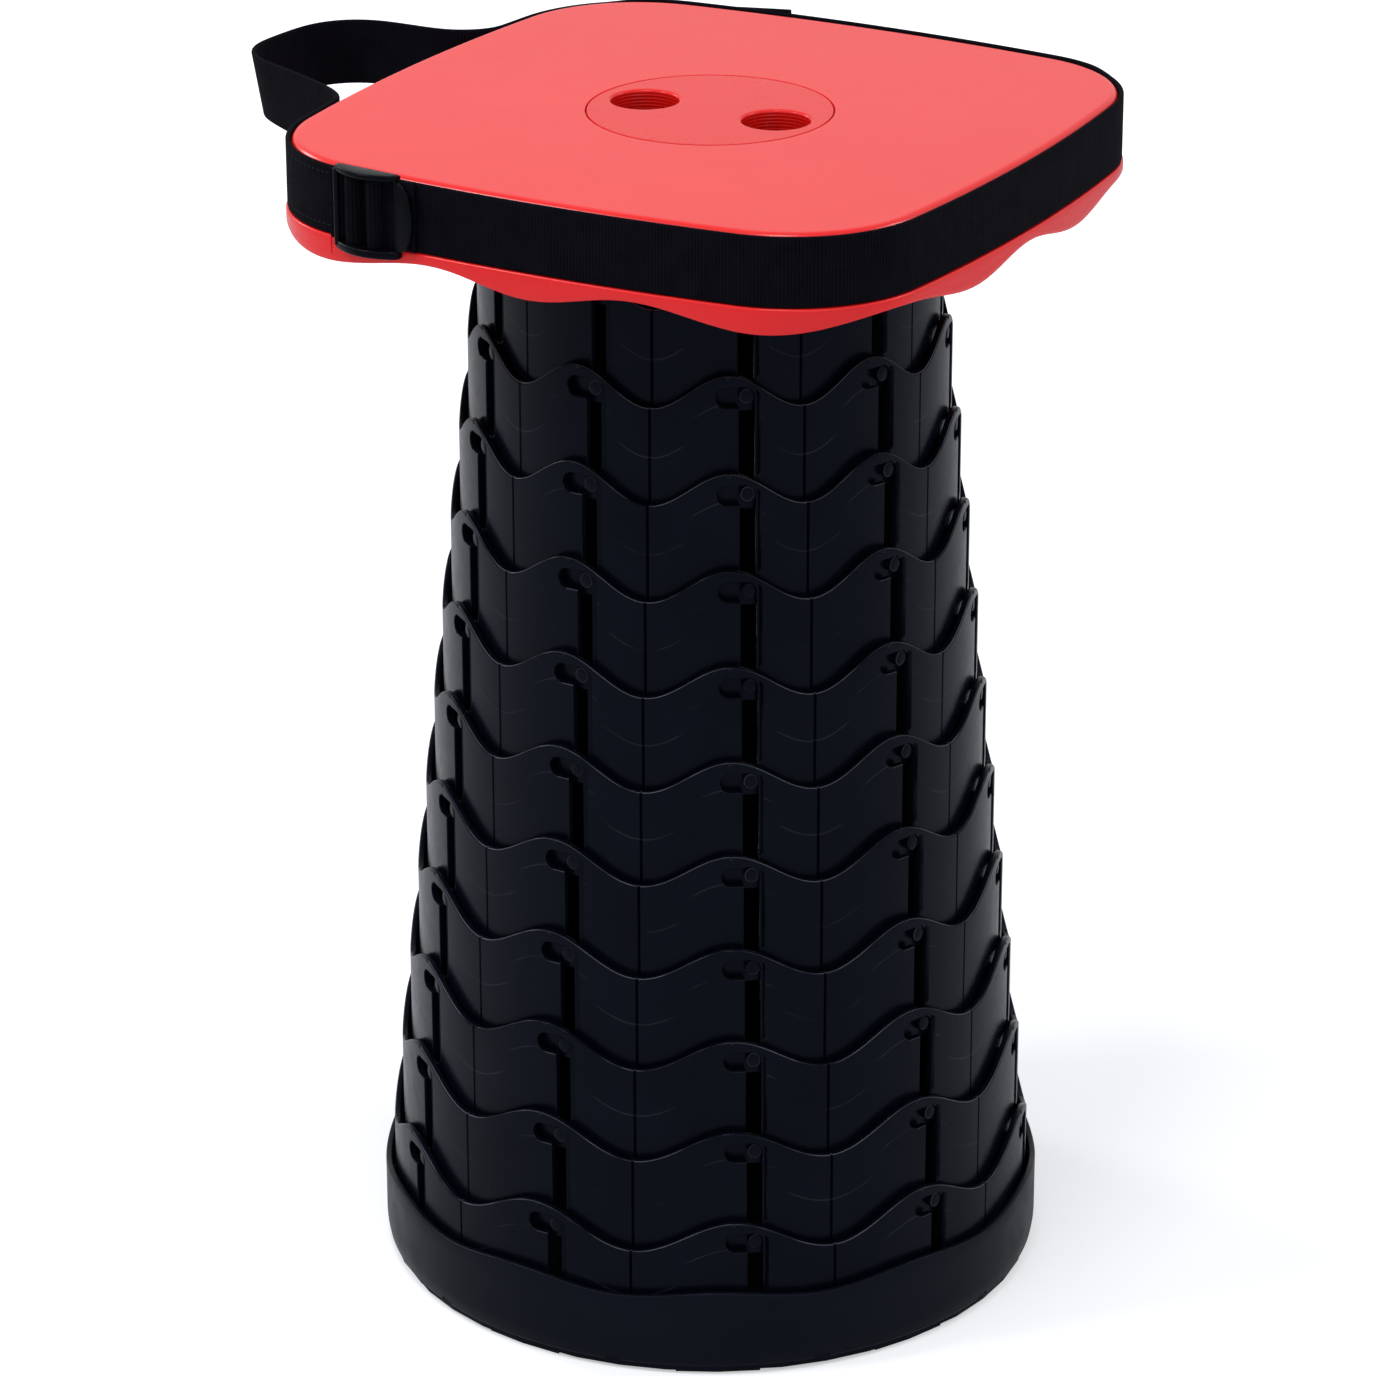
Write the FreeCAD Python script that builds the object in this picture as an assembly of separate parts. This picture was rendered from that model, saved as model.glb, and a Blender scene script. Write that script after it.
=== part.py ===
import FreeCAD, Part
import math
import os

# Accordion stool: eleven nested rings between a round base and a square seat, in millimetres.
# The origin is the centre of the base on the floor, +Z is up, the finger holes lie along X.

vector = FreeCAD.Vector
up = vector(0, 0, 1)

# Whole stool
stool_height = 450.0
ring_count = 11
column_count = 10
sector_angle = 360.0 / column_count

# Nested rings
top_ring_radius = 85.25
ring_wall = 2.6
running_gap = 1.15
collar_crest_drop = 0.5
ring_bottom_margin = 6.4
ring_wave_height = 12.8
crest_angle = 15.3
narrow_flat_count = 3

# Pins and the hooked slots that they run in
pin_radius = 3.6
pin_sides = 6
pin_recess = 1.1
slot_skin = 0.9
slot_clearance = 0.25
hook_reach = 8.3
hook_corner = 2.4
slot_cover = 0.68
flat_margin = 0.9

# Seat outline, measured at the rim of the flat top
seat_half_width = 125.4
seat_side_radius = 729.0
seat_corner_radius = 48.6
seat_side_facets = 4
seat_corner_facets = 6

# Seat shell
seat_wall_offset = 1.4
seat_lip_offset = 3.2
seat_wall = 2.4
seat_plate = 3.0
seat_edge_chamfer = 1.8
seat_lip_height = 6.8
skirt_wave_height = 5.6
skirt_crest_angle = 0.0
skirt_wave_facets = 4
seat_rib_count = 10
seat_rib_thickness = 1.8
seat_rib_depth = 5.0

# Seat centre disc
disc_radius = 44.8
disc_sides = 24
disc_gap = 0.4
disc_ledge_width = 3.8
disc_ledge_thickness = 2.6
disc_ledge_foot = 2.8
finger_hole_radius = 12.6
finger_tube_radius = 9.8
finger_funnel_depth = 2.6
finger_hole_spacing = 54.2
finger_tube_wall = 1.8
finger_tube_depth = 12.0
finger_sides = 12

# Seat collar
collar_bottom_margin = 6.4

# Carry strap, all in plan apart from its width
strap_width = 25.0
strap_thickness = 1.8
strap_top_drop = 0.5
strap_clearance = 0.3
loop_reach = 65.5
loop_back_y = 46.0
loop_front_y = -14.0
loop_return_y = -45.5
loop_leave_radius = 20.0
loop_back_radius = 25.0
loop_front_radius = 22.0
loop_return_radius = 17.0
loop_facets = 4

# Sewn end of the strap on the far side
sewn_end_start = -37.0
sewn_end_length = 34.0
sewn_end_rise = 1.4
layer_gap = 0.3

# Buckle and the webbing threaded through it
buckle_centre = -64.0
buckle_length = 30.0
buckle_height = 31.5
buckle_depth = 7.2
buckle_rail = 2.8
buckle_bar = 4.0
buckle_bar_thickness = 2.4
buckle_plate_length = 10.0
buckle_tongue_length = 6.0
buckle_tongue_height = 20.0
buckle_facets = 4
threaded_length = 40.0

# Base
base_rim_height = 34.4
base_rim_wave = 3.0
base_crest_angle = 12.5
base_bottom = 3.2
base_relief = 1.1
base_taper = 0.9
base_taper_height = 6.0
floor_bottom = 1.0
floor_plate_top = 6.0
floor_rim_top = 11.3
floor_plate_thickness = 2.5
floor_rim_width = 4.6
floor_edge_width = 12.0
floor_rib_thickness = 2.0
floor_hub_radius = 30.0
clip_width = 5.8
clip_height = 1.4
clip_clearance = 0.2
foot_half_angle = 7.3
foot_width = 11.0
foot_inset = 1.0
foot_facets = 2

# Shared
overrun = 2.0
seat_clearance = 0.3
full_turn = 360.0
half = 0.5

# Worked out from the sizes above
ring_pitch = ring_wall + running_gap
half_sector = sector_angle * half
slot_half_width = pin_radius + slot_clearance
middle_ring_radius = top_ring_radius + ring_pitch * ring_count * half
flat_angle = crest_angle + math.degrees(hook_reach * half / middle_ring_radius)
flat_half_width = hook_reach * half + slot_half_width + flat_margin
flat_half_angle = math.degrees(math.asin(flat_half_width / top_ring_radius))
narrow_flat_angle = (sector_angle - flat_half_angle * 2) / narrow_flat_count
crest_offset = flat_angle - crest_angle
crest_drop = ring_wave_height * half * (1 - math.cos(math.radians(crest_offset * column_count)))
edge_phase = math.radians((crest_offset + flat_half_angle) * column_count)
edge_drop = ring_wave_height * half * (1 - math.cos(edge_phase))
corner_share = (hook_reach * half + slot_half_width - hook_corner) / flat_half_width
corner_drop = crest_drop + (edge_drop - crest_drop) * corner_share
pin_below_crest = slot_half_width + slot_cover + corner_drop
lowest_pocket_room = pin_below_crest + ring_bottom_margin + floor_rim_top + collar_crest_drop
stage_travel = (stool_height - lowest_pocket_room) / (ring_count + 1)
pin_below_own_crest = pin_below_crest + stage_travel
ring_height = pin_below_own_crest + ring_bottom_margin
bottom_ring_crest = floor_rim_top + ring_height
base_radius = top_ring_radius + ring_count * ring_pitch
seat_underside = stool_height - seat_plate
rib_bottom = seat_underside - seat_rib_depth
strap_top = stool_height - strap_top_drop
strap_bottom = strap_top - strap_width
lip_top = strap_bottom - strap_clearance
skirt_bottom = lip_top - seat_lip_height - skirt_wave_height * half
strap_inner_offset = seat_wall_offset + strap_clearance
strap_centre_offset = strap_inner_offset + strap_thickness * half
strap_outer_offset = strap_inner_offset + strap_thickness


def ring_outer(index):
    return top_ring_radius + ring_pitch * index


def ring_crest(index):
    return bottom_ring_crest + stage_travel * (ring_count - 1 - index)


def radial(angle, distance, height=0.0):
    turn = math.radians(angle)
    return vector(distance * math.cos(turn), distance * math.sin(turn), height)


def flat_reach(radius):
    """Distance from the axis to the wide flats of a piece whose corners have this radius."""
    return radius * math.cos(math.radians(flat_half_angle))


def round_points(radius, height, middles=False):
    """Corners of a round piece: in each sector a wide flat for the slot, then narrow flats."""
    points = []
    for angle in columns(flat_angle):
        first = radial(angle - flat_half_angle, radius, height)
        last = radial(angle + flat_half_angle, radius, height)
        points.append(first)
        if middles:
            points.append((first + last) * half)
        points.append(last)
        for step in range(1, narrow_flat_count):
            points.append(radial(angle + flat_half_angle + narrow_flat_angle * step, radius, height))
    return points


def circle_points(radius, height, sides, place):
    return [place + radial(full_turn / sides * (side + half), radius, height) for side in range(sides)]


def polygon_face(points):
    return Part.Face(Part.makePolygon(points + points[:1]))


def prism(points, height):
    return polygon_face(points).extrude(up * height)


def round_prism(radius, bottom, top):
    return prism(round_points(radius, bottom), top - bottom)


def circle_prism(radius, bottom, top, sides, place=vector(0, 0, 0)):
    return prism(circle_points(radius, bottom, sides, place), top - bottom)


def closed_solid(faces):
    return Part.Solid(Part.Shell(faces))


def frustum(low, high):
    """A solid between two level outlines with as many points each."""
    faces = [polygon_face(low), polygon_face(high)]
    for index in range(len(low)):
        faces.append(polygon_face([low[index - 1], low[index], high[index], high[index - 1]]))
    return closed_solid(faces)


def wave_height_at(angle, crest, wave_height, crest_place):
    """Height of a wavy edge: crests at the crest place, one wave in each sector."""
    phase = math.radians((angle - crest_place) * column_count)
    return crest - wave_height * half * (1 - math.cos(phase))


def wavy_tube(outer, inner, bottom, crest, wave_height, crest_place):
    """A tube of flat staves, whose top edge follows a wave right through the wall."""
    outside = round_points(outer, bottom, True)
    inside = round_points(inner, bottom, True)
    rises = []
    for point in outside:
        angle = math.degrees(math.atan2(point.y, point.x))
        rises.append(up * (wave_height_at(angle, crest, wave_height, crest_place) - bottom))
    faces = []
    for side in range(len(outside)):
        last = side - 1
        outside_top = [outside[last] + rises[last], outside[side] + rises[side]]
        inside_top = [inside[last] + rises[last], inside[side] + rises[side]]
        faces.append(polygon_face([outside[last], outside[side]] + outside_top[::-1]))
        faces.append(polygon_face([inside[last], inside[side]] + inside_top[::-1]))
        faces.append(polygon_face([outside[last], outside[side], inside[side], inside[last]]))
        faces.append(polygon_face(outside_top + inside_top[1:]))
        faces.append(polygon_face(outside_top[:1] + inside_top[::-1]))
    return closed_solid(faces).removeSplitter()


def radial_prism(outline, angle, start, end):
    """A prism whose outline is drawn beside and above the radial line at this angle."""
    ahead = radial(angle, 1)
    beside = radial(angle + full_turn / 4, 1)
    points = [ahead * start + beside * across + up * height for across, height in outline]
    return polygon_face(points).extrude(ahead * (end - start))


def columns(first_angle):
    return [first_angle + sector_angle * index for index in range(column_count)]


def pin_outline(height):
    outline = []
    for side in range(pin_sides):
        turn = math.radians(full_turn / pin_sides * side)
        across = hook_reach * half + pin_radius * math.cos(turn)
        outline.append((across, height + pin_radius * math.sin(turn)))
    return outline


def slot_outline(crest):
    """A straight run at the right whose top hooks left into the pocket for the pin."""
    pocket = crest - pin_below_crest
    top = pocket + slot_half_width
    floor = pocket - slot_half_width
    bottom = crest - pin_below_own_crest + slot_half_width
    right = hook_reach * half + slot_half_width
    inside = hook_reach * half - slot_half_width
    return [(inside, bottom), (right, bottom), (right, top - hook_corner), (right - hook_corner, top),
            (-right, top), (-right, floor), (inside, floor)]


def slot_cutters(outer, crest):
    """Through slots, each going on behind the ring's own pin as a blind groove on the inside."""
    start = outer - ring_wall - overrun
    own_pin = crest - pin_below_own_crest
    inside = hook_reach * half - slot_half_width
    right = hook_reach * half + slot_half_width
    low = own_pin - slot_half_width
    high = own_pin + slot_half_width + overrun
    groove = [(inside, low), (right, low), (right, high), (inside, high)]
    cutters = []
    for angle in columns(flat_angle):
        cutters.append(radial_prism(slot_outline(crest), angle, start, outer + overrun))
        cutters.append(radial_prism(groove, angle, start, flat_reach(outer) - slot_skin))
    return cutters


def pin_set(outer, height, reach):
    surface = flat_reach(outer)
    return [radial_prism(pin_outline(height), angle, surface - slot_skin * half, surface + reach)
            for angle in columns(flat_angle)]


def telescopic_ring(index):
    outer = ring_outer(index)
    crest = ring_crest(index)
    tube = wavy_tube(outer, outer - ring_wall, crest - ring_height, crest, ring_wave_height, crest_angle)
    last = index == ring_count - 1
    pin_room = running_gap + base_relief - seat_clearance if last else ring_pitch - pin_recess
    slotted = tube.cut(slot_cutters(outer, crest)).removeSplitter()
    return slotted.multiFuse(pin_set(outer, crest - pin_below_own_crest, pin_room))


def seat_corner():
    """Centre of a corner arc, the same along X and Y, and the angle where a side arc ends."""
    side_centre = seat_half_width - seat_side_radius
    reach = seat_side_radius - seat_corner_radius
    middle = side_centre * half
    corner = middle + math.sqrt((reach ** 2 - side_centre ** 2 * half) * half)
    return corner, math.degrees(math.atan2(corner, corner - side_centre))


def seat_quarter(quarter, offset):
    """Points of one side of the seat outline and of the corner after it, without the last."""
    corner, side_end = seat_corner()
    turn = quarter * full_turn / 4
    side_centre = radial(turn, seat_half_width - seat_side_radius)
    corner_centre = radial(turn, corner) + radial(turn + full_turn / 4, corner)
    points = []
    for centre, radius, first, last, count in (
            (side_centre, seat_side_radius + offset, -side_end, side_end, seat_side_facets),
            (corner_centre, seat_corner_radius + offset, side_end, full_turn / 4 - side_end, seat_corner_facets)):
        for step in range(count):
            points.append(centre + radial(turn + first + (last - first) * step / count, radius))
    return points


def seat_points(offset, height):
    points = []
    for quarter in range(4):
        points += [point + up * height for point in seat_quarter(quarter, offset)]
    return points


def seat_prism(offset, bottom, top):
    return prism(seat_points(offset, bottom), top - bottom)


def seat_reach(angle, offset):
    """Distance from the axis to the seat outline at this angle."""
    corner, side_end = seat_corner()
    side_centre = seat_half_width - seat_side_radius
    quarter = full_turn / 4
    turn = math.radians((angle + quarter * half) % quarter - quarter * half)
    radius = seat_side_radius + offset
    side = side_centre * math.cos(turn) + math.sqrt(radius ** 2 - (side_centre * math.sin(turn)) ** 2)
    if side * abs(math.sin(turn)) <= radius * math.sin(math.radians(side_end)):
        return side
    turn = abs(turn)
    along = corner * (math.cos(turn) + math.sin(turn))
    across = corner * (math.cos(turn) - math.sin(turn))
    return along + math.sqrt((seat_corner_radius + offset) ** 2 - across ** 2)


def skirt_cutters():
    """Cutters below the seat's wavy lower edge, one for each wave from low point to low point."""
    wave_top = skirt_bottom + skirt_wave_height
    edge_angle = sector_angle * half
    cutters = []
    for first_angle in columns(skirt_crest_angle):
        outline = []
        for step in range(skirt_wave_facets + 1):
            angle = first_angle - edge_angle + sector_angle * step / skirt_wave_facets
            across = seat_reach(angle, seat_lip_offset) * math.sin(math.radians(angle - first_angle))
            outline.append((across, wave_height_at(angle, wave_top, skirt_wave_height, skirt_crest_angle)))
        outline = [(outline[0][0], skirt_bottom - overrun)] + outline + [(outline[-1][0], skirt_bottom - overrun)]
        start = seat_half_width * half
        cutters.append(radial_prism(outline, first_angle, start, seat_half_width + seat_corner_radius))
    return cutters


def seat_shell():
    chamfer_bottom = stool_height - seat_edge_chamfer
    chamfer_offset = seat_wall_offset - seat_edge_chamfer
    shell = seat_prism(seat_lip_offset, skirt_bottom, lip_top)
    wall = seat_prism(seat_wall_offset, lip_top, chamfer_bottom)
    edge = frustum(seat_points(seat_wall_offset, chamfer_bottom), seat_points(chamfer_offset, stool_height))
    hollow = seat_prism(seat_wall_offset - seat_wall, skirt_bottom - overrun, seat_underside)
    opening = disc_radius + disc_gap
    foot = opening + disc_ledge_foot
    centre_hole = circle_prism(opening, seat_underside - overrun, stool_height + overrun, disc_sides)
    shell = shell.multiFuse([wall, edge]).cut([hollow, centre_hole] + skirt_cutters())
    ledge_bottom = seat_underside - disc_ledge_thickness
    ledge = circle_prism(foot, ledge_bottom, seat_underside, disc_sides)
    ledge = ledge.cut(circle_prism(opening - disc_ledge_width, ledge_bottom, seat_underside, disc_sides))
    ribs = []
    for index in range(seat_rib_count):
        side = seat_rib_thickness * half
        outline = [(-side, rib_bottom), (side, rib_bottom), (side, seat_underside), (-side, seat_underside)]
        angle = skirt_crest_angle + full_turn / seat_rib_count * (index + half)
        reach = seat_reach(angle, seat_wall_offset - seat_wall * half)
        ribs.append(radial_prism(outline, angle, foot - disc_ledge_foot * half, reach))
    return shell.multiFuse([ledge] + ribs).removeSplitter()


def seat_centre_disc():
    disc = circle_prism(disc_radius, seat_underside, stool_height, disc_sides)
    tube_bottom = seat_underside - finger_tube_depth
    funnel_bottom = stool_height - finger_funnel_depth
    tubes, holes = [], []
    for side in (-1, 1):
        place = vector(side * finger_hole_spacing * half, 0, 0)
        tube_outer = finger_tube_radius + finger_tube_wall
        tubes.append(circle_prism(tube_outer, tube_bottom, seat_underside, finger_sides, place))
        holes.append(circle_prism(finger_tube_radius, tube_bottom, funnel_bottom, finger_sides, place))
        holes.append(frustum(circle_points(finger_tube_radius, funnel_bottom, finger_sides, place),
                             circle_points(finger_hole_radius, stool_height, finger_sides, place)))
    return disc.multiFuse(tubes).cut(holes)


def seat_collar():
    outer = ring_outer(-1)
    pin_height = ring_crest(-1) - pin_below_own_crest
    bottom = pin_height - collar_bottom_margin
    tube = round_prism(outer, bottom, rib_bottom).cut(round_prism(outer - ring_wall, bottom, rib_bottom))
    return tube.multiFuse(pin_set(outer, pin_height, ring_pitch - pin_recess))


def loop_corners():
    """Corner points of the slack loop, from the seat's back corner to its front one, with their radii."""
    corner, side_end = seat_corner()
    reach = seat_corner_radius + strap_centre_offset
    back_end = vector(-corner, corner, 0) + radial(full_turn * half - side_end, reach)
    front_end = vector(-corner, -corner, 0) + radial(full_turn * half + side_end, reach)
    slope = math.tan(math.radians(side_end))
    leave = vector(back_end.x - (back_end.y - loop_back_y) * slope, loop_back_y, 0)
    come_back = vector(front_end.x - (loop_return_y - front_end.y) * slope, loop_return_y, 0)
    far_side = leave.x - loop_reach
    points = [back_end, leave, vector(far_side, loop_back_y, 0), vector(far_side, loop_front_y, 0), come_back,
              front_end]
    return points, [loop_leave_radius, loop_back_radius, loop_front_radius, loop_return_radius]


def loop_points(offset, height):
    """Points of the slack loop's rounded corners, moved outwards by the offset from its middle line."""
    corners, radii = loop_corners()
    points = []
    for before, corner, after, middle_radius in zip(corners, corners[1:], corners[2:], radii):
        arriving = (corner - before).normalize()
        leaving = (after - corner).normalize()
        turn = arriving.getAngle(leaving)
        way = 1 if arriving.cross(leaving).z > 0 else -1
        centre = corner + (leaving - arriving).normalize() * (middle_radius / math.cos(turn * half))
        first_angle = math.degrees(math.atan2(-arriving.x * way, arriving.y * way))
        for step in range(loop_facets + 1):
            angle = first_angle + way * math.degrees(turn) * step / loop_facets
            points.append(centre + radial(angle, middle_radius + way * offset, height))
    return points


def strap_points(offset, height):
    """Closed outline of the strap: the seat's sides and corners, with the loop in place of the -X side."""
    band_offset = strap_centre_offset + offset
    points = []
    for quarter in range(4):
        side_points = seat_quarter(quarter, band_offset)
        if quarter == 2:
            points += [side_points[0] + up * height] + loop_points(offset, height)
            side_points = side_points[seat_side_facets:]
        points += [point + up * height for point in side_points]
    return points


def carry_strap():
    outer = prism(strap_points(strap_thickness * half, strap_bottom), strap_width)
    return outer.cut(prism(strap_points(-strap_thickness * half, strap_bottom), strap_width))


def side_layer(first, length, offset, bottom, top, side):
    """A short layer of webbing that follows the seat's back side (1) or front side (-1)."""
    outer = seat_prism(offset + strap_thickness, bottom, top)
    layer = outer.cut(seat_prism(offset, bottom, top))
    depth = seat_half_width * half
    start = vector(first, depth if side > 0 else -depth - seat_half_width, bottom)
    return layer.common(Part.makeBox(length, seat_half_width, top - bottom, start))


def strap_sewn_end():
    offset = strap_outer_offset + layer_gap
    first = sewn_end_start - sewn_end_length
    return side_layer(first, sewn_end_length, offset, strap_bottom + sewn_end_rise, strap_top + sewn_end_rise, 1)


def strap_threaded_end():
    offset = strap_outer_offset + layer_gap
    first = buckle_centre - threaded_length * half
    return side_layer(first, threaded_length, offset, strap_bottom, strap_top, -1)


def buckle_frame_point(along, depth, height):
    """A point of the buckle: along the front side, outwards from the strap, and up."""
    side_centre = seat_side_radius - seat_half_width
    turn = math.degrees(math.asin(buckle_centre / seat_side_radius))
    base = vector(0, side_centre, 0) + radial(turn - full_turn / 4, seat_side_radius + strap_outer_offset)
    out = radial(turn - full_turn / 4, 1)
    beside = radial(turn, 1)
    return base + out * depth + beside * along + up * height


def buckle_bar_solid(first, last, inner, outer, bottom, top):
    """A bar of the buckle between two places along the strap, with a bowed outer face."""
    crown = (outer - inner) * half
    points = [buckle_frame_point(first, inner, bottom), buckle_frame_point(last, inner, bottom)]
    for step in range(buckle_facets + 1):
        share = step / buckle_facets
        depth = inner + crown + crown * math.sin(math.pi * share)
        points.append(buckle_frame_point(last + (first - last) * share, depth, bottom))
    return prism(points, top - bottom)


def strap_buckle():
    middle = (strap_top + strap_bottom) * half
    bottom = middle - buckle_height * half
    top = middle + buckle_height * half
    left = -buckle_length * half
    right = buckle_length * half
    rail_inner = layer_gap
    bar_inner = strap_thickness + layer_gap * 2
    bar_outer = bar_inner + buckle_bar_thickness
    rails = [buckle_bar_solid(left, right, rail_inner, buckle_depth, low, low + buckle_rail)
             for low in (bottom, top - buckle_rail)]
    window = (buckle_length - buckle_bar * 2 - buckle_plate_length) * half
    bars = []
    for first, width in ((left, buckle_bar), (left + buckle_bar + window, buckle_bar),
                         (right - buckle_plate_length, buckle_plate_length)):
        bars.append(buckle_bar_solid(first, first + width, bar_inner, bar_outer, bottom + buckle_rail * half,
                                   top - buckle_rail * half))
    tongue = buckle_bar_solid(right - buckle_bar, right + buckle_tongue_length, bar_inner + layer_gap,
                            bar_outer, middle - buckle_tongue_height * half, middle + buckle_tongue_height * half)
    return rails[0].multiFuse([rails[1]] + bars + [tongue]).removeSplitter()


def base_shell():
    inner = base_radius - ring_wall
    relief = inner + base_relief
    pin_height = ring_crest(ring_count - 1) - pin_below_own_crest
    shoulder = pin_height + pin_radius + seat_clearance
    taper_top = base_bottom + base_taper_height
    wall = wavy_tube(base_radius, inner, taper_top, base_rim_height, base_rim_wave, base_crest_angle)
    foot = frustum(round_points(base_radius - base_taper, base_bottom), round_points(base_radius, taper_top))
    foot = foot.cut(round_prism(inner, base_bottom, taper_top))
    cutters = [round_prism(relief, base_bottom, shoulder)]
    side = clip_width * half + clip_clearance
    top = base_bottom + clip_height + clip_clearance
    window = [(-side, base_bottom - overrun), (side, base_bottom - overrun), (side, top), (-side, top)]
    for angle in columns(base_crest_angle + half_sector):
        cutters.append(radial_prism(window, angle, relief - overrun, base_radius + overrun))
    return wall.fuse(foot).removeSplitter().cut(cutters)


def base_floor():
    outer = base_radius - ring_wall + base_relief - seat_clearance
    plate = round_prism(outer, floor_bottom, floor_rim_top)
    plate = plate.cut(round_prism(outer - floor_rim_width, floor_plate_top, floor_rim_top))
    pocket_top = floor_plate_top - floor_plate_thickness
    pocket_end = flat_reach(outer - floor_edge_width)
    slope = math.tan(math.radians(half_sector))
    rib_room = floor_rib_thickness * half / math.cos(math.radians(half_sector))
    pockets, clips = [], []
    for angle in columns(base_crest_angle + half_sector):
        ahead = radial(angle, 1)
        beside = radial(angle + full_turn / 4, 1)
        outline = []
        for distance, side in ((floor_hub_radius, -1), (pocket_end, -1), (pocket_end, 1), (floor_hub_radius, 1)):
            across = side * (distance * slope - rib_room)
            outline.append(ahead * distance + beside * across + up * floor_bottom)
        pockets.append(prism(outline, pocket_top - floor_bottom))
        clip = [(-clip_width * half, base_bottom), (clip_width * half, base_bottom),
                (clip_width * half, base_bottom + clip_height), (-clip_width * half, base_bottom + clip_height)]
        clips.append(radial_prism(clip, angle, outer - overrun, flat_reach(base_radius - base_taper)))
    return plate.cut(pockets).multiFuse(clips)


def base_feet():
    outer = base_radius - ring_wall + base_relief - seat_clearance - foot_inset
    feet = []
    for angle in columns(base_crest_angle):
        turns = [angle + foot_half_angle * (step * 2 / foot_facets - 1) for step in range(foot_facets + 1)]
        points = [radial(turn, outer) for turn in turns]
        points += [radial(turn, outer - foot_width) for turn in reversed(turns)]
        feet.append(prism(points, floor_bottom))
    return Part.makeCompound(feet)


def main():
    os.makedirs("parts", exist_ok=True)
    nodes = {
        "seat_shell": seat_shell(),
        "seat_centre_disc": seat_centre_disc(),
        "seat_collar": seat_collar(),
        "carry_strap": carry_strap(),
        "strap_sewn_end": strap_sewn_end(),
        "strap_threaded_end": strap_threaded_end(),
        "strap_buckle": strap_buckle(),
        "base_shell": base_shell(),
        "base_floor": base_floor(),
        "base_feet": base_feet(),
    }
    for index in range(ring_count):
        nodes["ring_%02d" % (index + 1)] = telescopic_ring(index)
    for name, shape in nodes.items():
        shape.exportStep("parts/%s.step" % name)
        print(name, "valid", shape.isValid(), "solids", len(shape.Solids), "volume", round(shape.Volume))


main()
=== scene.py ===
import math

import bmesh
import bpy
import numpy as np
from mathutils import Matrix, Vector


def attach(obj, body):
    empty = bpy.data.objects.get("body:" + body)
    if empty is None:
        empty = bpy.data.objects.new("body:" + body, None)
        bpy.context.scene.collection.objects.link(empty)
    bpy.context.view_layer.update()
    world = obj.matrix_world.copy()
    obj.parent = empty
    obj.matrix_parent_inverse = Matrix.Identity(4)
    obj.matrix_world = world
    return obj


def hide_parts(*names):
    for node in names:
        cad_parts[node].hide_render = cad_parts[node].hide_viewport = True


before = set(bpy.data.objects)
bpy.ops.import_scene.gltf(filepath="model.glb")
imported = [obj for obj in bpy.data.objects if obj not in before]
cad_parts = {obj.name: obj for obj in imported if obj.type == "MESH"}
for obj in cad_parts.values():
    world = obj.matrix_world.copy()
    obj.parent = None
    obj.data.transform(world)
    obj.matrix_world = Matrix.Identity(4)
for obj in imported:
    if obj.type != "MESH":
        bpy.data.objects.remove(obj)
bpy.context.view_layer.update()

# An accordion stool: nested rings with hooked slots between a round base and a square seat.
# Sizes are in millimetres and degrees until a mesh is made.
mm = 0.001

stool = {
    "height": 450.0,
    "ringCount": 11,
    "columnCount": 10,
    "topRingRadius": 85.25,
    "ringPitch": 3.75,
    "ringWall": 2.6,
    "stageTravel": 35.2997,
    "bottomRingCrest": 61.2029,
    "flatAngle": 17.5458,
    "pinBelowOwnCrest": 43.5029,
    "pinBelowCrest": 8.2032,
}
sectorAngle = 360.0 / stool["columnCount"]
upright = np.array([0.0, 0.0, 1.0])
print("frame loaded:", len(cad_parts), "nodes")


def gridQuads(rows, columns, wrapRows=False, wrapColumns=False):
    # Corner numbers of a grid's cells, whose points are stored row by row
    lows = np.arange(rows if wrapRows else rows - 1)
    lefts = np.arange(columns if wrapColumns else columns - 1)
    low, left = np.meshgrid(lows, lefts, indexing="ij")
    high, right = (low + 1) % rows, (left + 1) % columns
    corners = [low * columns + left, low * columns + right, high * columns + right, high * columns + left]
    return np.stack(corners, axis=-1).reshape(-1, 4)


def clearOfRubAndPaintedLight(*shape):
    # Places on the UV map that lie away from every rub line, painted highlight and painted shade, for a grid
    # of this shape
    return np.full(shape + (2,), 5.0)


def gridPart(points, wrapRows=False, wrapColumns=False, uv=None):
    # A grid of points with the cells between them, and its place on the UV map if it has one
    rows, columns = points.shape[:2]
    quads = gridQuads(rows, columns, wrapRows, wrapColumns)
    flatUv = clearOfRubAndPaintedLight(rows * columns) if uv is None else uv.reshape(-1, 2)
    return points.reshape(-1, 3), quads, flatUv


def polar(angle, distance, height):
    # Points at these angles, distances from the axis and heights
    turn = np.radians(angle)
    return np.stack(np.broadcast_arrays(distance * np.cos(turn), distance * np.sin(turn), height), axis=-1)


def turned(points, angle):
    # The points turned about the upright axis
    cosine, sine = math.cos(math.radians(angle)), math.sin(math.radians(angle))
    x, y, z = points[..., 0], points[..., 1], points[..., 2]
    return np.stack([x * cosine - y * sine, x * sine + y * cosine, z], axis=-1)


def repeatedAround(parts, firstAngle):
    # One sector's parts in every sector
    angles = [firstAngle + sectorAngle * step for step in range(stool["columnCount"])]
    return [(turned(points, angle), quads, uv) for points, quads, uv in parts for angle in angles]


def smoothStep(low, high, value):
    # 0 below low, 1 above high, and an S curve between them
    share = np.clip((value - low) / (high - low), 0.0, 1.0)
    return share * share * (3.0 - 2.0 * share)


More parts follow.
